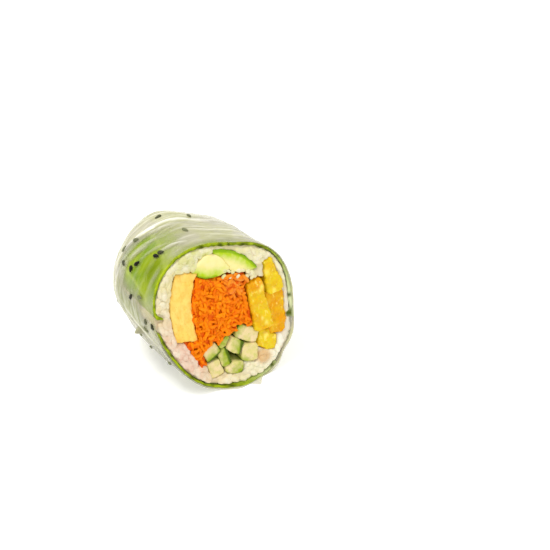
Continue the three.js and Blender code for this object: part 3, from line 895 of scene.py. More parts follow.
# A fold is felt this many half widths away, and the valley beside it, which is dented and given
# painted shade, lies this far off
FOLD_REACH, CREASE_AT = 3.5, 1.7
# The middle of the left flank in degrees, where the sheet is clearest
FLANK = 138
# A small tag of the sheet that stands off the left side: angle, spread and depth
TAG = (194.5, 2.4, 18.0)
# The sheet's grid: steps round it, along it and out to its lips
SHEET_COLUMNS, SHEET_ROWS, LIP_ROWS = 340, 140, 5


def fold_lines():
    """The main folds and many fine ones, in radians and mm."""
    draw = drawer(FOLD_DRAW)
    folds = []
    for start, depth, end, end_depth, *rest in FOLDS:
        folds.append((math.radians(start), depth, math.radians(end), end_depth, *rest))
    for index in range(FINE_FOLDS):
        start = draw(0, math.tau)
        depth = mix(2, 44, (index + 0.5) / FINE_FOLDS)
        end, end_depth = start - draw(0.3, 1.3), depth - draw(-2.5, 4.0)
        bow, strength, width = draw(-0.8, 0.8), draw(0.08, 0.42), draw(0.3, 0.75)
        folds.append((start, depth, end, end_depth, bow, strength, width))
    return folds


def fold_at(folds, angle, depth):
    """How strongly the sheet is folded at a place, and how deep the valley beside it is, which
    also gets painted shade.
    """
    strongest, valley = 0.0, 0.0
    wander = 0.5 * noise.noise((3 * math.cos(angle), 3 * math.sin(angle), depth * 0.15))
    for start, depth_a, end, depth_b, bow, strength, width in folds:
        turn = turn_between(start, angle) / (end - start)
        if turn < 0 or turn > 1:
            continue
        middle = mix(depth_a, depth_b, turn) + bow * 4 * turn * (1 - turn) + wander
        slant = (depth_b - depth_a) / ((end - start) * RADIUS)
        off = (depth - middle) / (width * math.hypot(1, slant))
        if abs(off) > FOLD_REACH:
            continue
        reach = strength * math.sin(math.pi * turn) ** 0.6
        strongest = max(strongest, reach * math.exp(-off * off))
        valley = max(valley, reach * math.exp(-((off + CREASE_AT) ** 2) * 1.6))
    return strongest, valley * (1 - strongest)


def haze_at(angle, depth):
    """How milky the sheet is: clearest over the left flank, near the cut."""
    beyond_flank = turn_between(math.radians(FLANK), angle) > 0
    wide = 0.8 * peak(FLANK, 46 if beyond_flank else 38, angle)
    narrow = 0.2 * peak(FLANK, 14, angle) * (1 - 0.3 * smooth_step(9, 17, depth))
    right = 0.55 * peak(8, 32, angle)
    under = 0.5 * peak(224, 24, angle)
    haze = 0.95 - max(wide + narrow, right, under)
    # Milky patches and streaks, fainter where it is clear
    u, v = math.cos(angle), math.sin(angle)
    patch = noise.noise((1.8 * u + 5, 1.8 * v, depth * 0.07))
    streak = noise.noise((2.2 * u, 2.2 * v + 7, depth * 0.5))
    haze += (0.16 * patch + 0.16 * streak) * (0.2 + 0.8 * haze)
    # Thinner on both sides of the flank, some way behind the cut
    thinner = bumps(((0.16, 118, 16), (0.2, 159, 14)), angle)
    haze -= thinner * smooth_step(3, 8, depth) * (1 - smooth_step(20, 27, depth))
    # Milky towards the closed end, from nearer the cut on the top
    turn = turn_between(angle, math.radians(150))
    back = mix(31.0, 22.0, smooth_step(0.15, 0.75, turn))
    haze += (1 - haze) * 0.85 * smooth_step(back - 2.5, back + 1.5, depth)
    # Clear again in the first millimetres behind the cut, and milky on the right's rim
    top = 0.65 * peak(90, 40, angle)
    clear = max(top, 0.8 * peak(200, 24, angle), 0.5 * peak(-80, 26, angle))
    haze *= 1 - clear * math.exp(-((max(0.0, depth) / 1.6) ** 2))
    haze += 0.5 * peak(0, 50, angle) * (1 - smooth_step(0.3, 1.0, depth))
    return min(1.0, max(0.0, haze))


def shade_at(angle, depth):
    """Where the sheet's doubled end lies over the gap in the leaf, behind the cut."""
    fading = 1 - 0.6 * smooth_step(26, 32, depth)
    return peak(175, 12, angle) * smooth_step(7, 13, depth) * fading


SHEET_NOTES = ("fold", "valley", "haze", "shade", "low_shade")


def sheet_material(look):
    """Clear over the leaf, milky in patches and whiter in its folds and streaks, partly as
    painted highlight, with painted shade in the valleys beside the folds and low on the left.
    """
    finish = Finish("moist_rice_paper", Roughness=0.24, IOR=1.36)
    fold, valley, haze, shade, low_shade = (finish.value(name) for name in SHEET_NOTES)
    streaks = finish.patches(1.4, 0.52, 0.74, stretch=(5, 1, 5))
    tint = finish.blend(finish.patches(7, 0.4, 0.6, detail=2.0), look.haze, look.pale)
    # The sheet is darkened low on the left: painted shade
    tint = finish.blend(low_shade, tint, look.low_shade)
    tint = finish.blend(shade, tint, look.doubled)
    threads = finish.patches(0.8, 0.56, 0.68, detail=2.0, stretch=(9, 1, 9))
    lines = finish.sum(streaks, finish.times(threads, 1.4))
    # Folds and streaks are whitened, partly by milky creasing and partly as painted highlight
    raised = finish.blend(finish.sum(fold, finish.times(lines, 0.26)), tint, look.fold)
    # The valleys beside the folds are darkened towards the crease colour: painted shade
    finish.colour(finish.times(valley, 0.75), raised, look.crease_shade)
    streaked = finish.times(haze, finish.times(streaks, 0.25))
    veil = finish.sum(finish.times(haze, 0.88), streaked)
    thin = finish.patches(1.9, 0.34, 0.5, 0.14, 0, stretch=(6, 1, 6))
    veil = finish.sum(veil, finish.times(thin, haze), "SUBTRACT")
    veil = finish.sum(veil, finish.times(finish.sum(fold, valley), 0.5))
    finish.feed("Alpha", finish.sum(veil, finish.times(shade, 0.4)))
    finish.feed("Roughness", finish.patches(2.5, 0.3, 0.7, 0.1, 0.26))
    finish.relief(finish.noise(1.2, 3.0, (4, 1, 4)), 0.6, 0.3)
    return finish.material


class ROLL_OT_add_sheet(bpy.types.Operator):
    """Wrap the roll in its moist, clear rice paper"""

    bl_idname = "roll.add_sheet"
    bl_label = "Rice paper sheet"

    def execute(self, context):
        look = context.scene.roll_sheet
        folds = fold_lines()
        rows = [(index / LIP_ROWS - 1, 0.0) for index in range(LIP_ROWS)]
        rows += [(0.0, rise) for rise in even_rises(SHEET_ROWS)]

        def corner(row, column):
            """The sheet's two points and its notes at one place of its grid."""
            front, rise = rows[row]
            angle = column / SHEET_COLUMNS * math.tau
            width, length = meridian(angle, rise)
            u, v, depth = body_point(angle, rise, 0)
            depth += rim_reach(angle) * front
            shown = smooth_step(0.25, 0.7, width)
            fold, valley = (shown * part for part in fold_at(folds, angle, depth))
            turned = 3 * PLEATS * angle + 4 * width + 2 * noise.noise((u * 0.2, v * 0.2, 3))
            # At the gathered end the pleats' crests are whitened, partly as painted highlight,
            # and their valleys get painted shade
            gathered = (1 - shown) * smooth_step(0.02, 0.2, width)
            fold += 0.8 * gathered * max(0.0, math.cos(turned)) ** 3
            valley += 0.6 * gathered * max(0.0, -math.cos(turned)) ** 3
            soft = 0.12 * noise.noise((u * 0.35, v * 0.35, depth * 0.5)) - 0.12
            lift = look.fold_height * (fold - 0.5 * valley) + soft
            away = (depth - TAG[2]) / 0.8
            lift += look.tag_height * peak(*TAG[:2], angle) * math.exp(-away * away)
            radius = max(6.0, math.hypot(u, v))
            points = []
            for down in (0.0, look.thickness):
                size = 1 + (lift - down) / radius
                end = (down - lift * gathered) * smooth_step(0.3, 0.9, length)
                points.append(place(u * size, v * size, depth - end, down))
            # Painted shade low on the left
            low_shade = 0.8 * peak(212, 24, angle)
            return *points, fold, valley, haze_at(angle, depth), shade_at(angle, depth), low_shade

        name = "rice_paper_sheet"
        mesh = skin_mesh(name, len(rows), SHEET_COLUMNS, True, corner, SHEET_NOTES)
        add_piece(name, mesh, sheet_material(look), "rice_paper", "rice_paper")
        return {"FINISHED"}


# --------------------------------------------------------------------- the seeds

# The angle and depth of each seed that shows, and how much the sheet veils it
SEED_PLACES = (
    (104, 29.6, 0.3), (80, 26.2, 0.45), (98, 12.5, 0.6), (128, 9.0, 0.0), (124, 8.2, 0.15),
    (141, 17.0, 0.0), (147, 19.4, 0.0), (148, 26.2, 0.2), (164, 16.0, 0.05), (159, 9.0, 0.6),
    (129, 26.8, 0.5), (140, 31.0, 0.5), (174, 6.4, 0.35), (184, 9.5, 0.6), (-17, 5.0, 0.2),
    (173, 1.3, 0.1),
)
SEEDS_ELSEWHERE = 12
SESAME_DRAW = 41
# A seed's corners round it and rings along it, and its width and height
SEED_GRID = (12, 9)
SEED_WIDTH, SEED_HEIGHT = 0.28, 0.5


def seed_places():
    """The angle, depth, turn and veil of each seed, as in the solid model."""
    draw = drawer(SESAME_DRAW)
    seeds = [(degrees, depth, draw(0, math.pi), veil) for degrees, depth, veil in SEED_PLACES]
    for index in range(SEEDS_ELSEWHERE):
        share = (index + 0.5) / SEEDS_ELSEWHERE
        right = share < 0.5
        degrees = mix(-50, 26, share * 2) if right else mix(190, 245, share * 2 - 1)
        depth = 5 + (index * 16.5 + draw(0, 6)) % 34
        veil = 0.3 if right else 0.75
        seeds.append((degrees + draw(-5, 5), depth, draw(0, math.pi), veil))
    return seeds


def seed_material(look):
    """Black sesame, a little glossy, with fine pits, paler where the sheet veils it."""
    finish = Finish("black_sesame", Roughness=0.4, Specular_IOR_Level=0.12)
    bare = finish.blend(finish.patches(0.8, 0.35, 0.7), look.seed, look.seed_light)
    finish.colour(finish.value("veil"), bare, look.seed_veil)
    finish.relief(finish.noise(0.3, 2.0), 0.4, 0.08)
    return finish.material


class ROLL_OT_add_seeds(bpy.types.Operator):
    """Press black sesame seeds into the sheet"""

    bl_idname = "roll.add_seeds"
    bl_label = "Sesame seeds"

    def execute(self, context):
        look = context.scene.roll_sheet
        seeds = Heap(*SEED_GRID, "veil")
        for degrees, depth, turn, veil in seed_places():
            angle = math.radians(degrees)
            rise = rise_at(angle, depth)
            centre = on_body(angle, rise, 0)
            side = (on_body(angle + 0.035, rise, 0) - centre).normalized()
            back = on_body(angle, rise + 0.026, 0) - centre
            out = back.cross(side).normalized()
            if out.dot(centre - place(0, 0, depth)) < 0:
                out = -out
            back = out.cross(side)
            long = side * math.cos(turn) + back * math.sin(turn)
            wide = out.cross(long)

            def corner(share, spin):
                """A point of the seed, which is blunter at one end."""
                reach = -math.cos(math.pi * share)
                girth = math.sin(math.pi * share) * (1 - 0.32 * reach)
                point = long * (reach * look.seed_length / 2)
                point += wide * (math.cos(spin) * girth * look.seed_length * SEED_WIDTH)
                point += out * (math.sin(spin) * girth * SEED_HEIGHT + 0.02)
                return centre + point * MM

            seeds.add(corner, veil)
        mesh = seeds.mesh("sesame_seeds")
        add_piece("sesame_seeds", mesh, seed_material(look), "rice_paper", "rice_paper")
        return {"FINISHED"}


# -------------------------------------------------------------------- the leaves

LEAF_NOTES = ("rib", "edge", "pale", "deep", "dark_spot", "inner")
# The leaves' grid: steps from the cut to the closed end, and round a whole turn
LEAF_ROWS, LEAF_COLUMNS = 110, 360


def leaf_material(look):
    """A moist green blade with pale ribs, darker streaks and a bright cut edge, with painted
    shade on the edge's inner part and painted light on its inner side to the right.
    """
    finish = Finish(
        "green_leaf", Roughness=0.4, Specular_IOR_Level=0.07, Coat_Weight=0.06, Coat_Roughness=0.2
    )
    rib, edge, pale, deep, dark_spot, inner = (finish.value(name) for name in LEAF_NOTES)
    patch = finish.patches(8, 0.38, 0.62, stretch=(1.6, 1, 1.6))
    blade = finish.blend(deep, finish.blend(patch, look.cool, look.green), look.deep)
    streak = finish.patches(1.6, 0.5, 0.72, 0, 0.4, detail=4.0, stretch=(6, 1, 6))
    ribbed = finish.blend(finish.sum(streak, rib), blade, look.rib)
    mottle = finish.patches(2.4, 0.45, 0.62, 0, 0.6, detail=2.0)
    # The inner part of the cut edge is darkened towards deep green: painted shade
    rim = finish.blend(finish.sum(mottle, finish.times(inner, 0.6)), look.edge, look.deep)
    rim = finish.blend(pale, rim, look.pale)
    # Darker spots are painted on the inner part of the cut edge
    rim = finish.blend(finish.times(dark_spot, finish.span(inner, 0.0, 0.4)), rim, look.dark_spot)
    # On the right the leaf's inner side is painted pale: painted light over the shade between
    # rice and leaf
    beside = finish.blend(finish.times(pale, inner), ribbed, look.pale)
    finish.colour(edge, beside, rim)
    finish.relief(finish.noise(1.2, 3.0, (3, 1, 3)), 0.5, 0.25)
    return finish.material


def rib_at(angle, depth, phase):
    """How much of a pale rib there is at a place on the blade."""
    fan = angle * 11 + depth * 0.09 + 0.8 * math.sin(depth * 0.12 + phase)
    branch = depth * 0.55 + 2.2 * math.sin(angle * 5.5 + phase)
    main = max(0.0, math.cos(fan)) ** 24
    side = max(0.0, math.cos(branch)) ** 20 * 0.6
    return 0.6 * max(main, side)


class ROLL_OT_add_leaves(bpy.types.Operator):
    """Lay the two green leaves round the rice"""

    bl_idname = "roll.add_leaves"
    bl_label = "Leaves"

    def execute(self, context):
        material = leaf_material(context.scene.roll_leaf)
        leaves = {"leaf_upper": LEAF_UPPER, "leaf_lower": LEAF_LOWER}
        for phase, (node, (start, end)) in enumerate(leaves.items()):
            upper = node == "leaf_upper"
            columns = round((end - start) / math.tau * LEAF_COLUMNS)

            def corner(row, column):
                """The leaf's two points and its notes at one place of its grid."""
                rise = LEAF_LAST_RISE * row / LEAF_ROWS
                angle = mix(start, end, column / columns)
                depth = body_point(angle, rise, LEAF_TOP)[2]
                vein = rib_at(angle, depth, phase)
                front = 1 - smooth_step(0.0, 1.5, depth)
                wave = 0.1 * noise.noise((angle * 9, depth * 0.3, phase))
                wave += 0.35 * front * noise.noise((angle * 14, phase, 3))
                dark_spot = max(peak(*spot, angle) for spot in DARK_SPOTS)
                uneven = 0.7 + 0.7 * noise.noise((angle * 17, 5, phase))
                thick = front * (bumps(LEAF_THICK, angle) * uneven + 0.2 * dark_spot + 0.15)
                if upper:
                    curl = curl_at(angle)
                    left, right = turn_between(angle, end), turn_between(start, angle)
                    hook = 1 - smooth_step(0.02, 0.045, min(abs(left), abs(right) * 0.45))
                    hook *= 1 - smooth_step(1, 4, depth)
                    thick += HOOK * hook
                    reach = 0.7 * hook
                else:
                    curl = 0.0
                    reach = bumps((LEAF_LIP,), angle)
                reach *= 1 - smooth_step(0, 4, depth)
                lift = wave + 0.12 * vein - 0.05
                outside = on_body(angle, rise, SHOWN_LEAF_TOP + curl, lift, reach)
                inside = on_body(angle, rise, SHOWN_LEAF_UNDER + curl, wave - thick, reach)
                deep = peak(FLANK, 11, angle) * math.exp(-(((depth - 6) / 6) ** 2))
                edge = 1 - smooth_step(0.0, 0.9, depth)
                pale = max(0.85 * peak(-8, 26, angle), 0.5 * peak(-62, 14, angle))
                return outside, inside, vein * (1 - deep), edge, pale, deep, dark_spot

            name = node.replace("leaf", "wrapping_leaf")
            mesh = skin_mesh(name, LEAF_ROWS + 1, columns + 1, False, corner, LEAF_NOTES)
            add_piece(name, mesh, material, "leaf", node)
        return {"FINISHED"}


# ---------------------------------------------------------------------- the rice

RICE_NOTES = ("blush", "white", "mossy", "tan")
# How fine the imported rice's mesh is
RICE_CELL = 0.66
GRAIN_DRAW, GRAIN_TRIES = 7, 60000
# A grain's corners round it and rings along it, and the room that it keeps
GRAIN_GRID = (8, 7)
GRAIN_ROOM = 1.35


def rice_material(look, name, shadow):
    """Moist grains: creamy, blushed low on the left, white on the right, with painted shade
    between the grains and on one tan patch.
    """
    finish = Finish(
        name,
        Roughness=0.36,
        Specular_IOR_Level=0.3,
        Subsurface_Weight=0.15,
        Subsurface_Radius=(0.0014, 0.001, 0.0008),
    )
    blush, white, mossy, tan = (finish.value(name) for name in RICE_NOTES)
    tone = finish.blend(blush, look.cream, look.blush)
    tone = finish.blend(white, tone, look.white)
    tone = finish.blend(mossy, tone, look.mossy)
    patch = finish.patches(3.2, 0.4, 0.7, 0, 0.7, detail=2.0)
    mottled = finish.blend(patch, tone, look.pale)
    # Between the grains the bed is darkened by its shadow share: painted shade
    between = finish.span(patch, 0, 1, shadow, shadow * 0.5)
    # One patch is painted tan: painted shade
    finish.colour(tan, finish.blend(between, mottled, look.between), look.tan)
    finish.feed("Roughness", finish.patches(1.8, 0.3, 0.7, 0.25, 0.5))
    finish.relief(finish.noise(0.7, 2.0), 0.35, 0.12)
    return finish.material


def rice_tones(u, v, depth):
    """How blushed, how white and how mossy the rice is at a place, and how much painted shade its
    tan patch gives.
    """
    angle = math.atan2(v, u)
    away = math.hypot((u - SHADED_PATCH[0]) / 3.4, (v - SHADED_PATCH[1]) / 2.6)
    shaded = (1 - smooth_step(0.6, 1.3, away)) * (1 - smooth_step(2, 5, depth))
    return peak(208, 44, angle), peak(-25, 42, angle), 0.8 * peak(98, 26, angle), shaded


def rice_forward(u, v):
    """How far the rice follows the leaf's lip out in front of the cut."""
    angle = math.atan2(v, u)
    share = smooth_step(0.8, 0.92, math.hypot(u, v) / face_radius(angle))
    return 0.7 * bumps((LEAF_LIP,), angle) * share


def packed(at):
    """How far the rice swells: out to the leaf, and sunk between the grains at the cut."""
    u, v, depth = roll_space(at * MM)
    outer = smooth_step(0.84, 0.9, math.hypot(u, v) / section_radius(math.atan2(v, u)))
    front = 1 - smooth_step(0.2, 0.8, depth)
    sunk = 0.3 - rice_forward(u, v)
    return 0.2 * noise.noise(at * 0.9) + 0.42 * outer * (1 - front) - sunk * front


def grain_fits(u, v, turn, length, width):
    """Whether a grain lies in the rice, clear of the leaf and the fillings."""
    for share in (-0.5, 0.0, 0.5):
        end = beyond(u, v, turn, share * (length - 0.6 * width), 0)
        angle = math.atan2(end[1], end[0])
        room = face_radius(angle) - SHOWN_LEAF_UNDER - bumps(LEAF_THICK, angle) - width * 0.5
        if math.hypot(*end) > room or math.dist(end, HOOK_AT) < HOOK_ROOM:
            return False
        if in_filling(*end, 0.35 * width):
            return False
        if any(inside_outline(outline, *end) for outline in (HEART, CARROT_EDGE)):
            return False
    return True


def grain_corner(u, v, depth, turn, lean, length, width):
    """What gives a heap the points of one plump grain."""

    def corner(share, spin):
        reach = -math.cos(math.pi * share) * length / 2
        girth = math.sin(math.pi * share) ** 0.8 * width / 2
        out = math.sin(spin) * girth * 0.85
        flat = reach * math.cos(lean) - out * math.sin(lean)
        rise = reach * math.sin(lean) + out * math.cos(lean)
        return place(*beyond(u, v, turn, flat, math.cos(spin) * girth), depth + rise, GAP)

    return corner


class ROLL_OT_add_rice(bpy.types.Operator):
    """Pack cooked rice round the fillings, with its grains showing at the cut"""

    bl_idname = "roll.add_rice"
    bl_label = "Rice"

    def execute(self, context):
        look = context.scene.roll_rice
        core = softened("rice", RICE_CELL, packed)
        draw = drawer(GRAIN_DRAW)
        grains, taken = Heap(*GRAIN_GRID), []
        for _ in range(GRAIN_TRIES):
            if len(taken) == look.grains:
                break
            angle = draw(0, math.tau)
            radius = RADIUS * math.sqrt(draw(0.2, 1.06))
            u, v = radius * math.cos(angle), radius * math.sin(angle)
            turn = angle + math.pi / 2 + draw(-0.9, 0.9)
            swollen = 1 + 0.22 * peak(212, 40, angle)
            length = look.grain_length * draw(0.75, 1.15)
            width = look.grain_width * draw(0.85, 1.1) * swollen
            if crowded(taken, u, v, GRAIN_ROOM) or not grain_fits(u, v, turn, length, width):
                continue
            taken.append((u, v))
            lean = draw(-0.45, 0.45)
            deep = draw(0.2, 0.9) - rice_forward(u, v)
            grains.add(grain_corner(u, v, deep, turn, lean, length, width))
        for u, v in CRUMBS:
            length, width = draw(1.5, 2.4), draw(1.2, 1.8)
            grains.add(grain_corner(u, v, -0.2, draw(-0.7, 0.9), 0.0, length, width))
        pieces = {
            "rice_bed": (core, "packed_rice", 0.35),
            "rice_grains": (grains.mesh("rice_grains"), "cooked_rice", 0),
        }
        for name, (mesh, material, shadow) in pieces.items():
            note_values(mesh, RICE_NOTES, rice_tones)
            add_piece(name, mesh, rice_material(look, material, shadow), "rice", "rice")
        return {"FINISHED"}


# --------------------------------------------------------------------- the carrot

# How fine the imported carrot's mesh is
CARROT_CELL = 0.55
SHRED_DRAW, SHRED_TRIES = 23, 40000
# A shred's corners round it and rings along it, and the room that it keeps
SHRED_GRID = (6, 10)
SHRED_ROOM = 0.8


def carrot_material(name, colour, deep, dry):
    """Moist orange shreds, each a little lighter or deeper than the next."""
    finish = Finish(name, Roughness=0.42, Specular_IOR_Level=0.08)
    patch = finish.patches(1.6, 0.38, 0.62, 0, 0.6)
    shred = finish.blend(finish.sum(patch, finish.value("tone")), deep, colour)
    finish.colour(finish.value("dry"), shred, dry)
    finish.relief(finish.noise(0.5, 2.0), 0.4, 0.12)
    return finish.material


def shred_fits(u, v, turn, length):
    """Whether a shred lies in the carrot, clear of the other fillings."""
    ends = [beyond(u, v, turn, end * length, 0) for end in (-0.4, 0, 0.4)]
    return all(inside_outline(CARROT_EDGE, *end) and not in_filling(*end, 0.25) for end in ends)


def shred_corner(u, v, depth, turn, length, width, bend, lean):
    """What gives a heap the points of one bent shred."""

    def corner(share, spin):
        along = 2 * share - 1
        girth = width / 2 * (1 - abs(along) ** 6) ** 0.5
        reach = along * length / 2
        across = bend * (1 - along * along) + math.cos(spin) * girth
        rise = lean * reach + 0.35 * math.sin(3 * along + u)
        out = depth + rise + math.sin(spin) * girth * 0.75
        return place(*beyond(u, v, turn, reach, across), out)

    return corner


class ROLL_OT_add_carrot(bpy.types.Operator):
    """Heap finely shredded carrot in the middle of the roll"""

    bl_idname = "roll.add_carrot"
    bl_label = "Shredded carrot"

    def execute(self, context):
        look = context.scene.roll_filling
        dry = look.carrot_dry
        # The packed core that shows between the shreds is coloured darker: painted shade in the
        # gaps
        dark = carrot_material("packed_carrot", look.carrot_deep, look.carrot_gap_shade, dry)
        add_piece("carrot_core", softened("carrot", CARROT_CELL), dark, "carrot", "carrot")
        draw = drawer(SHRED_DRAW)
        shreds, taken = Heap(*SHRED_GRID, "tone", "dry"), []
        for _ in range(SHRED_TRIES):
            if len(taken) == look.shreds:
                break
            u, v = draw(-19, 13), draw(-18, 18)
            turn, length = draw(0, math.pi), draw(2.6, 6.6)
            bend, lean, depth = draw(-0.9, 0.9), draw(-0.35, 0.35), draw(-0.4, 1.0)
            if not shred_fits(u, v, turn, length) or crowded(taken, u, v, SHRED_ROOM):
                continue
            taken.append((u, v))
            width = look.shred_width * draw(0.75, 1.2)
            tone = draw(-0.1, 0.6)
            dryness = 0.8 * draw() * math.exp(-((math.dist((u, v), DRY_AT) / 4.5) ** 2))
            corner = shred_corner(u, v, depth, turn, length, width, bend, lean)
            shreds.add(corner, tone, dryness)
        light = carrot_material("carrot_shred", look.carrot, look.carrot_deep, dry)
        add_piece("carrot_shreds", shreds.mesh("carrot_shreds"), light, "carrot")
        return {"FINISHED"}


# --------------------------------------------------------- egg, avocado and fruit

# How fine each filling's mesh is, and how many rounds soften the mango's corners
EGG_CELL, AVOCADO_CELL, MANGO_CELL, CUCUMBER_CELL = 0.42, 0.34, 0.35, 0.32
MANGO_ROUNDS = 5


def egg_material(look):
    """Soft cooked egg in thin layers, with fine pores."""
    finish = Finish("rolled_omelette", Roughness=0.5, Specular_IOR_Level=0.2)
    pores = finish.span(finish.cells(1.3), 0.1, 0.26, 0.5, 0)
    layers = finish.patches(1.4, 0.42, 0.72, 0, 0.6, detail=4.0, stretch=(1, 1, 3))
    egg = finish.blend(finish.patches(7, 0.42, 0.6, detail=2.0), look.egg, look.egg_yolk)
    finish.colour(finish.sum(pores, layers), egg, look.egg_spot)
    finish.relief(finish.cells(1.3), 0.5, 0.3)
    return finish.material


class ROLL_OT_add_omelette(bpy.types.Operator):
    """Add the thick strip of rolled omelette"""

    bl_idname = "roll.add_omelette"
    bl_label = "Omelette"

    def execute(self, context):
        def ragged(at):
            """Softly uneven, with small pits."""
            return 0.45 * noise.noise(at * 0.42) + 0.2 * noise.noise(at * 1.3) + 0.1

        mesh = softened("omelette", EGG_CELL, ragged)
        material = egg_material(context.scene.roll_filling)
        add_piece("omelette_strip", mesh, material, "omelette", "omelette")
        return {"FINISHED"}


def avocado_material(look):
    """Pale buttery flesh that turns green towards the rind."""
    finish = Finish("avocado_flesh", Roughness=0.4, Specular_IOR_Level=0.12)
    flesh = finish.blend(finish.patches(3.0, 0.35, 0.7), look.avocado, look.avocado_pale)
    mottle = finish.patches(1.6, 0.3, 0.7, -0.22, 0.22)
    rind = finish.value("rind")
    uneven = finish.sum(rind, finish.times(mottle, finish.sum(rind, 0.15)))
    green = finish.blend(uneven, flesh, look.avocado_rind)
    finish.colour(finish.span(rind, 0.93, 1.0, 0, 0.8), green, look.avocado_skin)
    finish.relief(finish.noise(1.2, 3.0), 0.5, 0.3)
    return finish.material


class ROLL_OT_add_avocado(bpy.types.Operator):
    """Add the two avocado slices"""

    bl_idname = "roll.add_avocado"
    bl_label = "Avocado"

    def execute(self, context):
        material = avocado_material(context.scene.roll_filling)

        def swell(at):
            """Softly uneven."""
            return 0.25 * noise.noise(at * 0.4) + 0.17

        for node, (start, end, bow, _) in AVOCADO_SLICES.items():

            def nearness(u, v, depth):
                """How near the rind a place is; the lower slice's right tip stays pale."""
                share, left = arc_space(start, end, bow, *followed(u, v, depth))
                tip = 1 - 0.8 * smooth_step(0.6, 0.95, share) * (bow < 0)
                return (tip * (1 - smooth_step(0.3, 5.4, abs(left))),)

            mesh = softened(node, AVOCADO_CELL, swell)
            note_values(mesh, ("rind",), nearness)
            name = node.replace("avocado", "avocado_slice")
            add_piece(name, mesh, material, "avocado", node)
        return {"FINISHED"}


def mango_material(look):
    """Wet yellow fruit that glows a little and holds small highlights, with more painted
    highlight and painted shade in its colour.
    """
    finish = Finish(
        "ripe_mango",
        Roughness=0.3,
        Specular_IOR_Level=0.06,
        Coat_Weight=0.45,
        Coat_Roughness=0.08,
        Coat_IOR=1.3,
        Subsurface_Weight=0.4,
        Subsurface_Radius=(0.003, 0.0016, 0.0005),
    )
    patch = finish.patches(5, 0.36, 0.66, -0.3, 0.3, detail=2.0)
    light = finish.sum(patch, finish.value("light"))
    flesh = finish.blend(light, look.mango, look.mango_light)
    # Darker noise patches stand for shade in hollows: painted shade
    hollow_shade = finish.patches(4.5, 0.54, 0.74, 0, 0.4, detail=2.0)
    flesh = finish.blend(hollow_shade, flesh, look.mango_shade)
    # Pale streaks and spots on the flesh are painted highlights
    glints = finish.patches(1.3, 0.6, 0.74, 0, 0.75, detail=2.0, stretch=(1, 1, 2))
    finish.colour(finish.sum(glints, finish.value("glint_spot")), flesh, look.mango_glint)
    finish.relief(finish.noise(3.0, 1.0), 1.0, 1.2)
    return finish.material


class ROLL_OT_add_mango(bpy.types.Operator):
    """Add the sticks of ripe mango"""

    bl_idname = "roll.add_mango"
    bl_label = "Mango"

    def execute(self, context):
        material = mango_material(context.scene.roll_filling)

        def swell(at):
            """Softly uneven, and fuller where two sticks press together."""
            u, v, _ = roll_space(at * MM)
            off_u, off_v = (u - PRESSED[0]) / 1.6, (v - PRESSED[1]) / 4.5
            pressed = math.exp(-off_u * off_u - off_v * off_v)
            uneven = 0.7 * noise.noise(at * 0.25) + 0.3 * noise.noise(at * 0.8)
            return uneven + 0.32 + 0.5 * pressed

        for node in MANGOES:

            def tones(u, v, depth):
                """How pale the flesh is at a place, and how much painted highlight it has."""
                u, v = followed(u, v, depth)
                ripe = smooth_step(MANGO_RIPE, MANGO_RIPE + 2.5, v) * (node == "mango_left")
                # Painted highlights at the listed spots
                glint_spot = max(
                    math.exp(-((u - at_u) ** 2 + 0.6 * (v - at_v) ** 2) / size**2)
                    for at_u, at_v, size in GLINT_SPOTS
                )
                return MANGO_LIGHT[node] * (1 - ripe), 0.85 * glint_spot

            mesh = softened(node, MANGO_CELL, swell, MANGO_ROUNDS)
            note_values(mesh, ("light", "glint_spot"), tones)
            name = node.replace("mango", "mango_stick")
            add_piece(name, mesh, material, "mango", node)
        return {"FINISHED"}


def cucumber_material(look):
    """Moist pale flesh that turns green towards a dark rind."""
    finish = Finish("cucumber_stick", Roughness=0.34, Specular_IOR_Level=0.15)
    patch = finish.patches(2.4, 0.35, 0.65)
    flesh = finish.blend(patch, look.cucumber, look.cucumber_yellow)
    mottle = finish.patches(1.5, 0.3, 0.7, -0.3, 0.3)
    green = finish.sum(finish.value("green"), mottle)
    moist = finish.blend(green, flesh, look.cucumber_green)
    finish.colour(finish.value("rind"), moist, look.cucumber_rind)
    finish.relief(finish.noise(0.9, 2.0), 0.3, 0.15)
    return finish.material


class ROLL_OT_add_cucumber(bpy.types.Operator):
    """Add the cucumber sticks"""

    bl_idname = "roll.add_cucumber"
    bl_label = "Cucumber"

    def execute(self, context):
        material = cucumber_material(context.scene.roll_filling)

        def swell(at):
            """Softly uneven."""
            return 0.2 * noise.noise(at * 0.5) + 0.06

        for node, stick in CUCUMBERS.items():
            degrees, rind_width, green_width = RINDS[node]
            side_u, side_v = math.cos(math.radians(degrees)), math.sin(math.radians(degrees))
            half = stick_reach(stick, side_u, side_v)
            at_u, at_v = stick[0]

            def rinds(u, v, depth):
                """How green the flesh is at a place, and how much of it is rind; behind the cut
                the sides are painted greener and a little darker, as shade in the gaps between
                the sticks.
                """
                u, v = followed(u, v, depth)
                left = half - (u - at_u) * side_u - (v - at_v) * side_v
                # Behind the cut the sides get painted shade: greener and a little darker
                inner = smooth_step(0.5, 1.6, depth)
                rind = 1 - smooth_step(rind_width * 0.6, rind_width, left)
                green = 1 - smooth_step(0, green_width, left)
                return max(green, 0.75 * inner), max(rind, 0.1 * inner)

            mesh = softened(node, CUCUMBER_CELL, swell)
            note_values(mesh, ("green", "rind"), rinds)
            name = node.replace("cucumber", "cucumber_stick")
            add_piece(name, mesh, material, "cucumber", node)
        return {"FINISHED"}


# ---------------------------------------------------------------------- the stage

# The camera's turn and rise, how far off it is and how much it sees, in mm
CAMERA_TURN = math.radians(31)
CAMERA_RISE = math.radians(33)
CAMERA_DISTANCE = 900.0
FRAME_WIDTH = 205.15
SENSOR = 36.0
# Where the middle of the cut face lies from the middle of the view
FACE_IN_FRAME = (-18.95, -14.47)
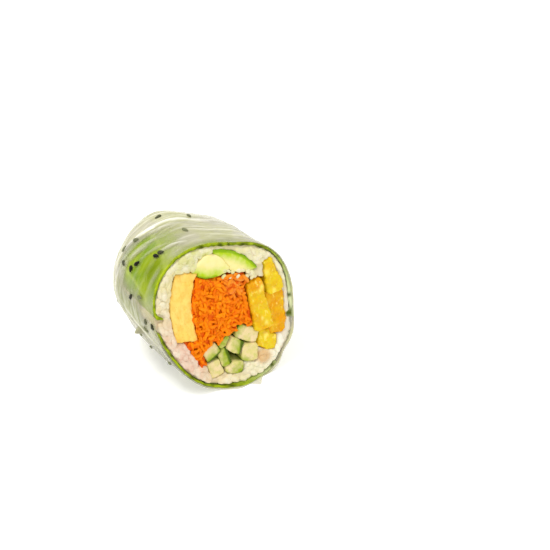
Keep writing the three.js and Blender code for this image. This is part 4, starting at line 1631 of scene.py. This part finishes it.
# Half the floor's width in metres, and how bright the sky is
FLOOR_HALF = 2.0
SKY = 0.83
# Each light's place and size in metres, and its power
LIGHTS = {
    "top_light": ((-0.3, 0.1, 0.8), 0.25, 3.2),
    "front_light": ((0.3, -0.55, 0.5), 0.08, 0.6),
}
# The point that the lights look at
LIT = Vector((0, 0, 0.025))


def camera_axes():
    """The view's right, up and towards-the-camera directions."""
    sine, cosine = math.sin(CAMERA_TURN), math.cos(CAMERA_TURN)
    level, lift = math.cos(CAMERA_RISE), math.sin(CAMERA_RISE)
    right = Vector((cosine, -sine, 0))
    up = Vector((sine * lift, cosine * lift, level))
    back = Vector((-sine * level, -cosine * level, lift))
    return right, up, back


def aim(thing, target):
    """Turns a camera or light to look at a point."""
    way = target - thing.location
    thing.rotation_euler = way.to_track_quat("-Z", "Y").to_euler()


def add_light(name, location, size, power):
    """A large soft light on the roll."""
    lamp = bpy.data.lights.new(name, "AREA")
    lamp.shape = "DISK"
    lamp.size = size
    lamp.energy = power
    light = bpy.data.objects.new(name, lamp)
    light.location = location
    bpy.context.scene.collection.objects.link(light)
    aim(light, LIT)


class ROLL_OT_add_stage(bpy.types.Operator):
    """Set the pale floor, the soft lights and the camera"""

    bl_idname = "roll.add_stage"
    bl_label = "Stage"

    def execute(self, context):
        scene = context.scene
        scene.view_settings.view_transform = "Standard"
        right, up, back = camera_axes()
        face = place(0, 0, 0)
        lens = bpy.data.cameras.new("camera")
        lens.sensor_width = SENSOR
        lens.lens = SENSOR * CAMERA_DISTANCE / FRAME_WIDTH
        camera = bpy.data.objects.new("camera", lens)
        camera.location = face + back * (CAMERA_DISTANCE * MM)
        across, down = FACE_IN_FRAME
        aim(camera, face - right * (across * MM) - up * (down * MM))
        scene.collection.objects.link(camera)
        scene.camera = camera

        sides = ((-1, -1), (1, -1), (1, 1), (-1, 1))
        corners = [(x * FLOOR_HALF, y * FLOOR_HALF, 0) for x, y in sides]
        mesh = bpy.data.meshes.new("floor")
        mesh.from_pydata(corners, [], [(0, 1, 2, 3)])
        floor = bpy.data.objects.new("floor", mesh)
        scene.collection.objects.link(floor)
        finish = Finish(
            "pale_floor",
            Base_Color=(0.9, 0.9, 0.9, 1),
            Roughness=0.9,
            Emission_Color=(1, 1, 1, 1),
            Emission_Strength=0.3,
        )
        mesh.materials.append(finish.material)
        floor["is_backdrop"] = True

        world = bpy.data.worlds.new("studio")
        world.use_nodes = True
        background = world.node_tree.nodes["Background"]
        background.inputs["Color"].default_value = (1, 1, 1, 1)
        background.inputs["Strength"].default_value = SKY
        scene.world = world
        for name, light in LIGHTS.items():
            add_light(name, *light)
        return {"FINISHED"}


# ------------------------------------------------------------------- panel and run

STEPS = (
    ROLL_OT_add_stage,
    ROLL_OT_add_sheet,
    ROLL_OT_add_seeds,
    ROLL_OT_add_leaves,
    ROLL_OT_add_rice,
    ROLL_OT_add_carrot,
    ROLL_OT_add_omelette,
    ROLL_OT_add_avocado,
    ROLL_OT_add_mango,
    ROLL_OT_add_cucumber,
)


class VIEW3D_PT_roll(bpy.types.Panel):
    """The roll's pieces, sizes and colours"""

    bl_label = "Rice paper roll"
    bl_space_type = "VIEW_3D"
    bl_region_type = "UI"
    bl_category = "Roll"

    def draw(self, context):
        for step in STEPS:
            self.layout.operator(step.bl_idname)
        for name, group in GROUPS.items():
            box = self.layout.box()
            for field in group.__annotations__:
                box.prop(getattr(context.scene, name), field)


def register():
    """Make the sizes, operators and panel known to Blender."""
    for group in (*GROUPS.values(), *STEPS, VIEW3D_PT_roll):
        bpy.utils.register_class(group)
    for name, group in GROUPS.items():
        setattr(bpy.types.Scene, name, PointerProperty(type=group))


def unregister():
    """Take them out again."""
    for name in GROUPS:
        delattr(bpy.types.Scene, name)
    for group in reversed((*GROUPS.values(), *STEPS, VIEW3D_PT_roll)):
        bpy.utils.unregister_class(group)


def main():
    """Build the roll step by step and measure both boxes."""
    register()
    for step in STEPS:
        group, name = step.bl_idname.split(".")
        getattr(getattr(bpy.ops, group), name)()
    boxes = {"cad": CAD_BOX, "visual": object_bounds()}
    plain = {name: [list(corner) for corner in box] for name, box in boxes.items()}


if __name__ == "__main__":
    main()
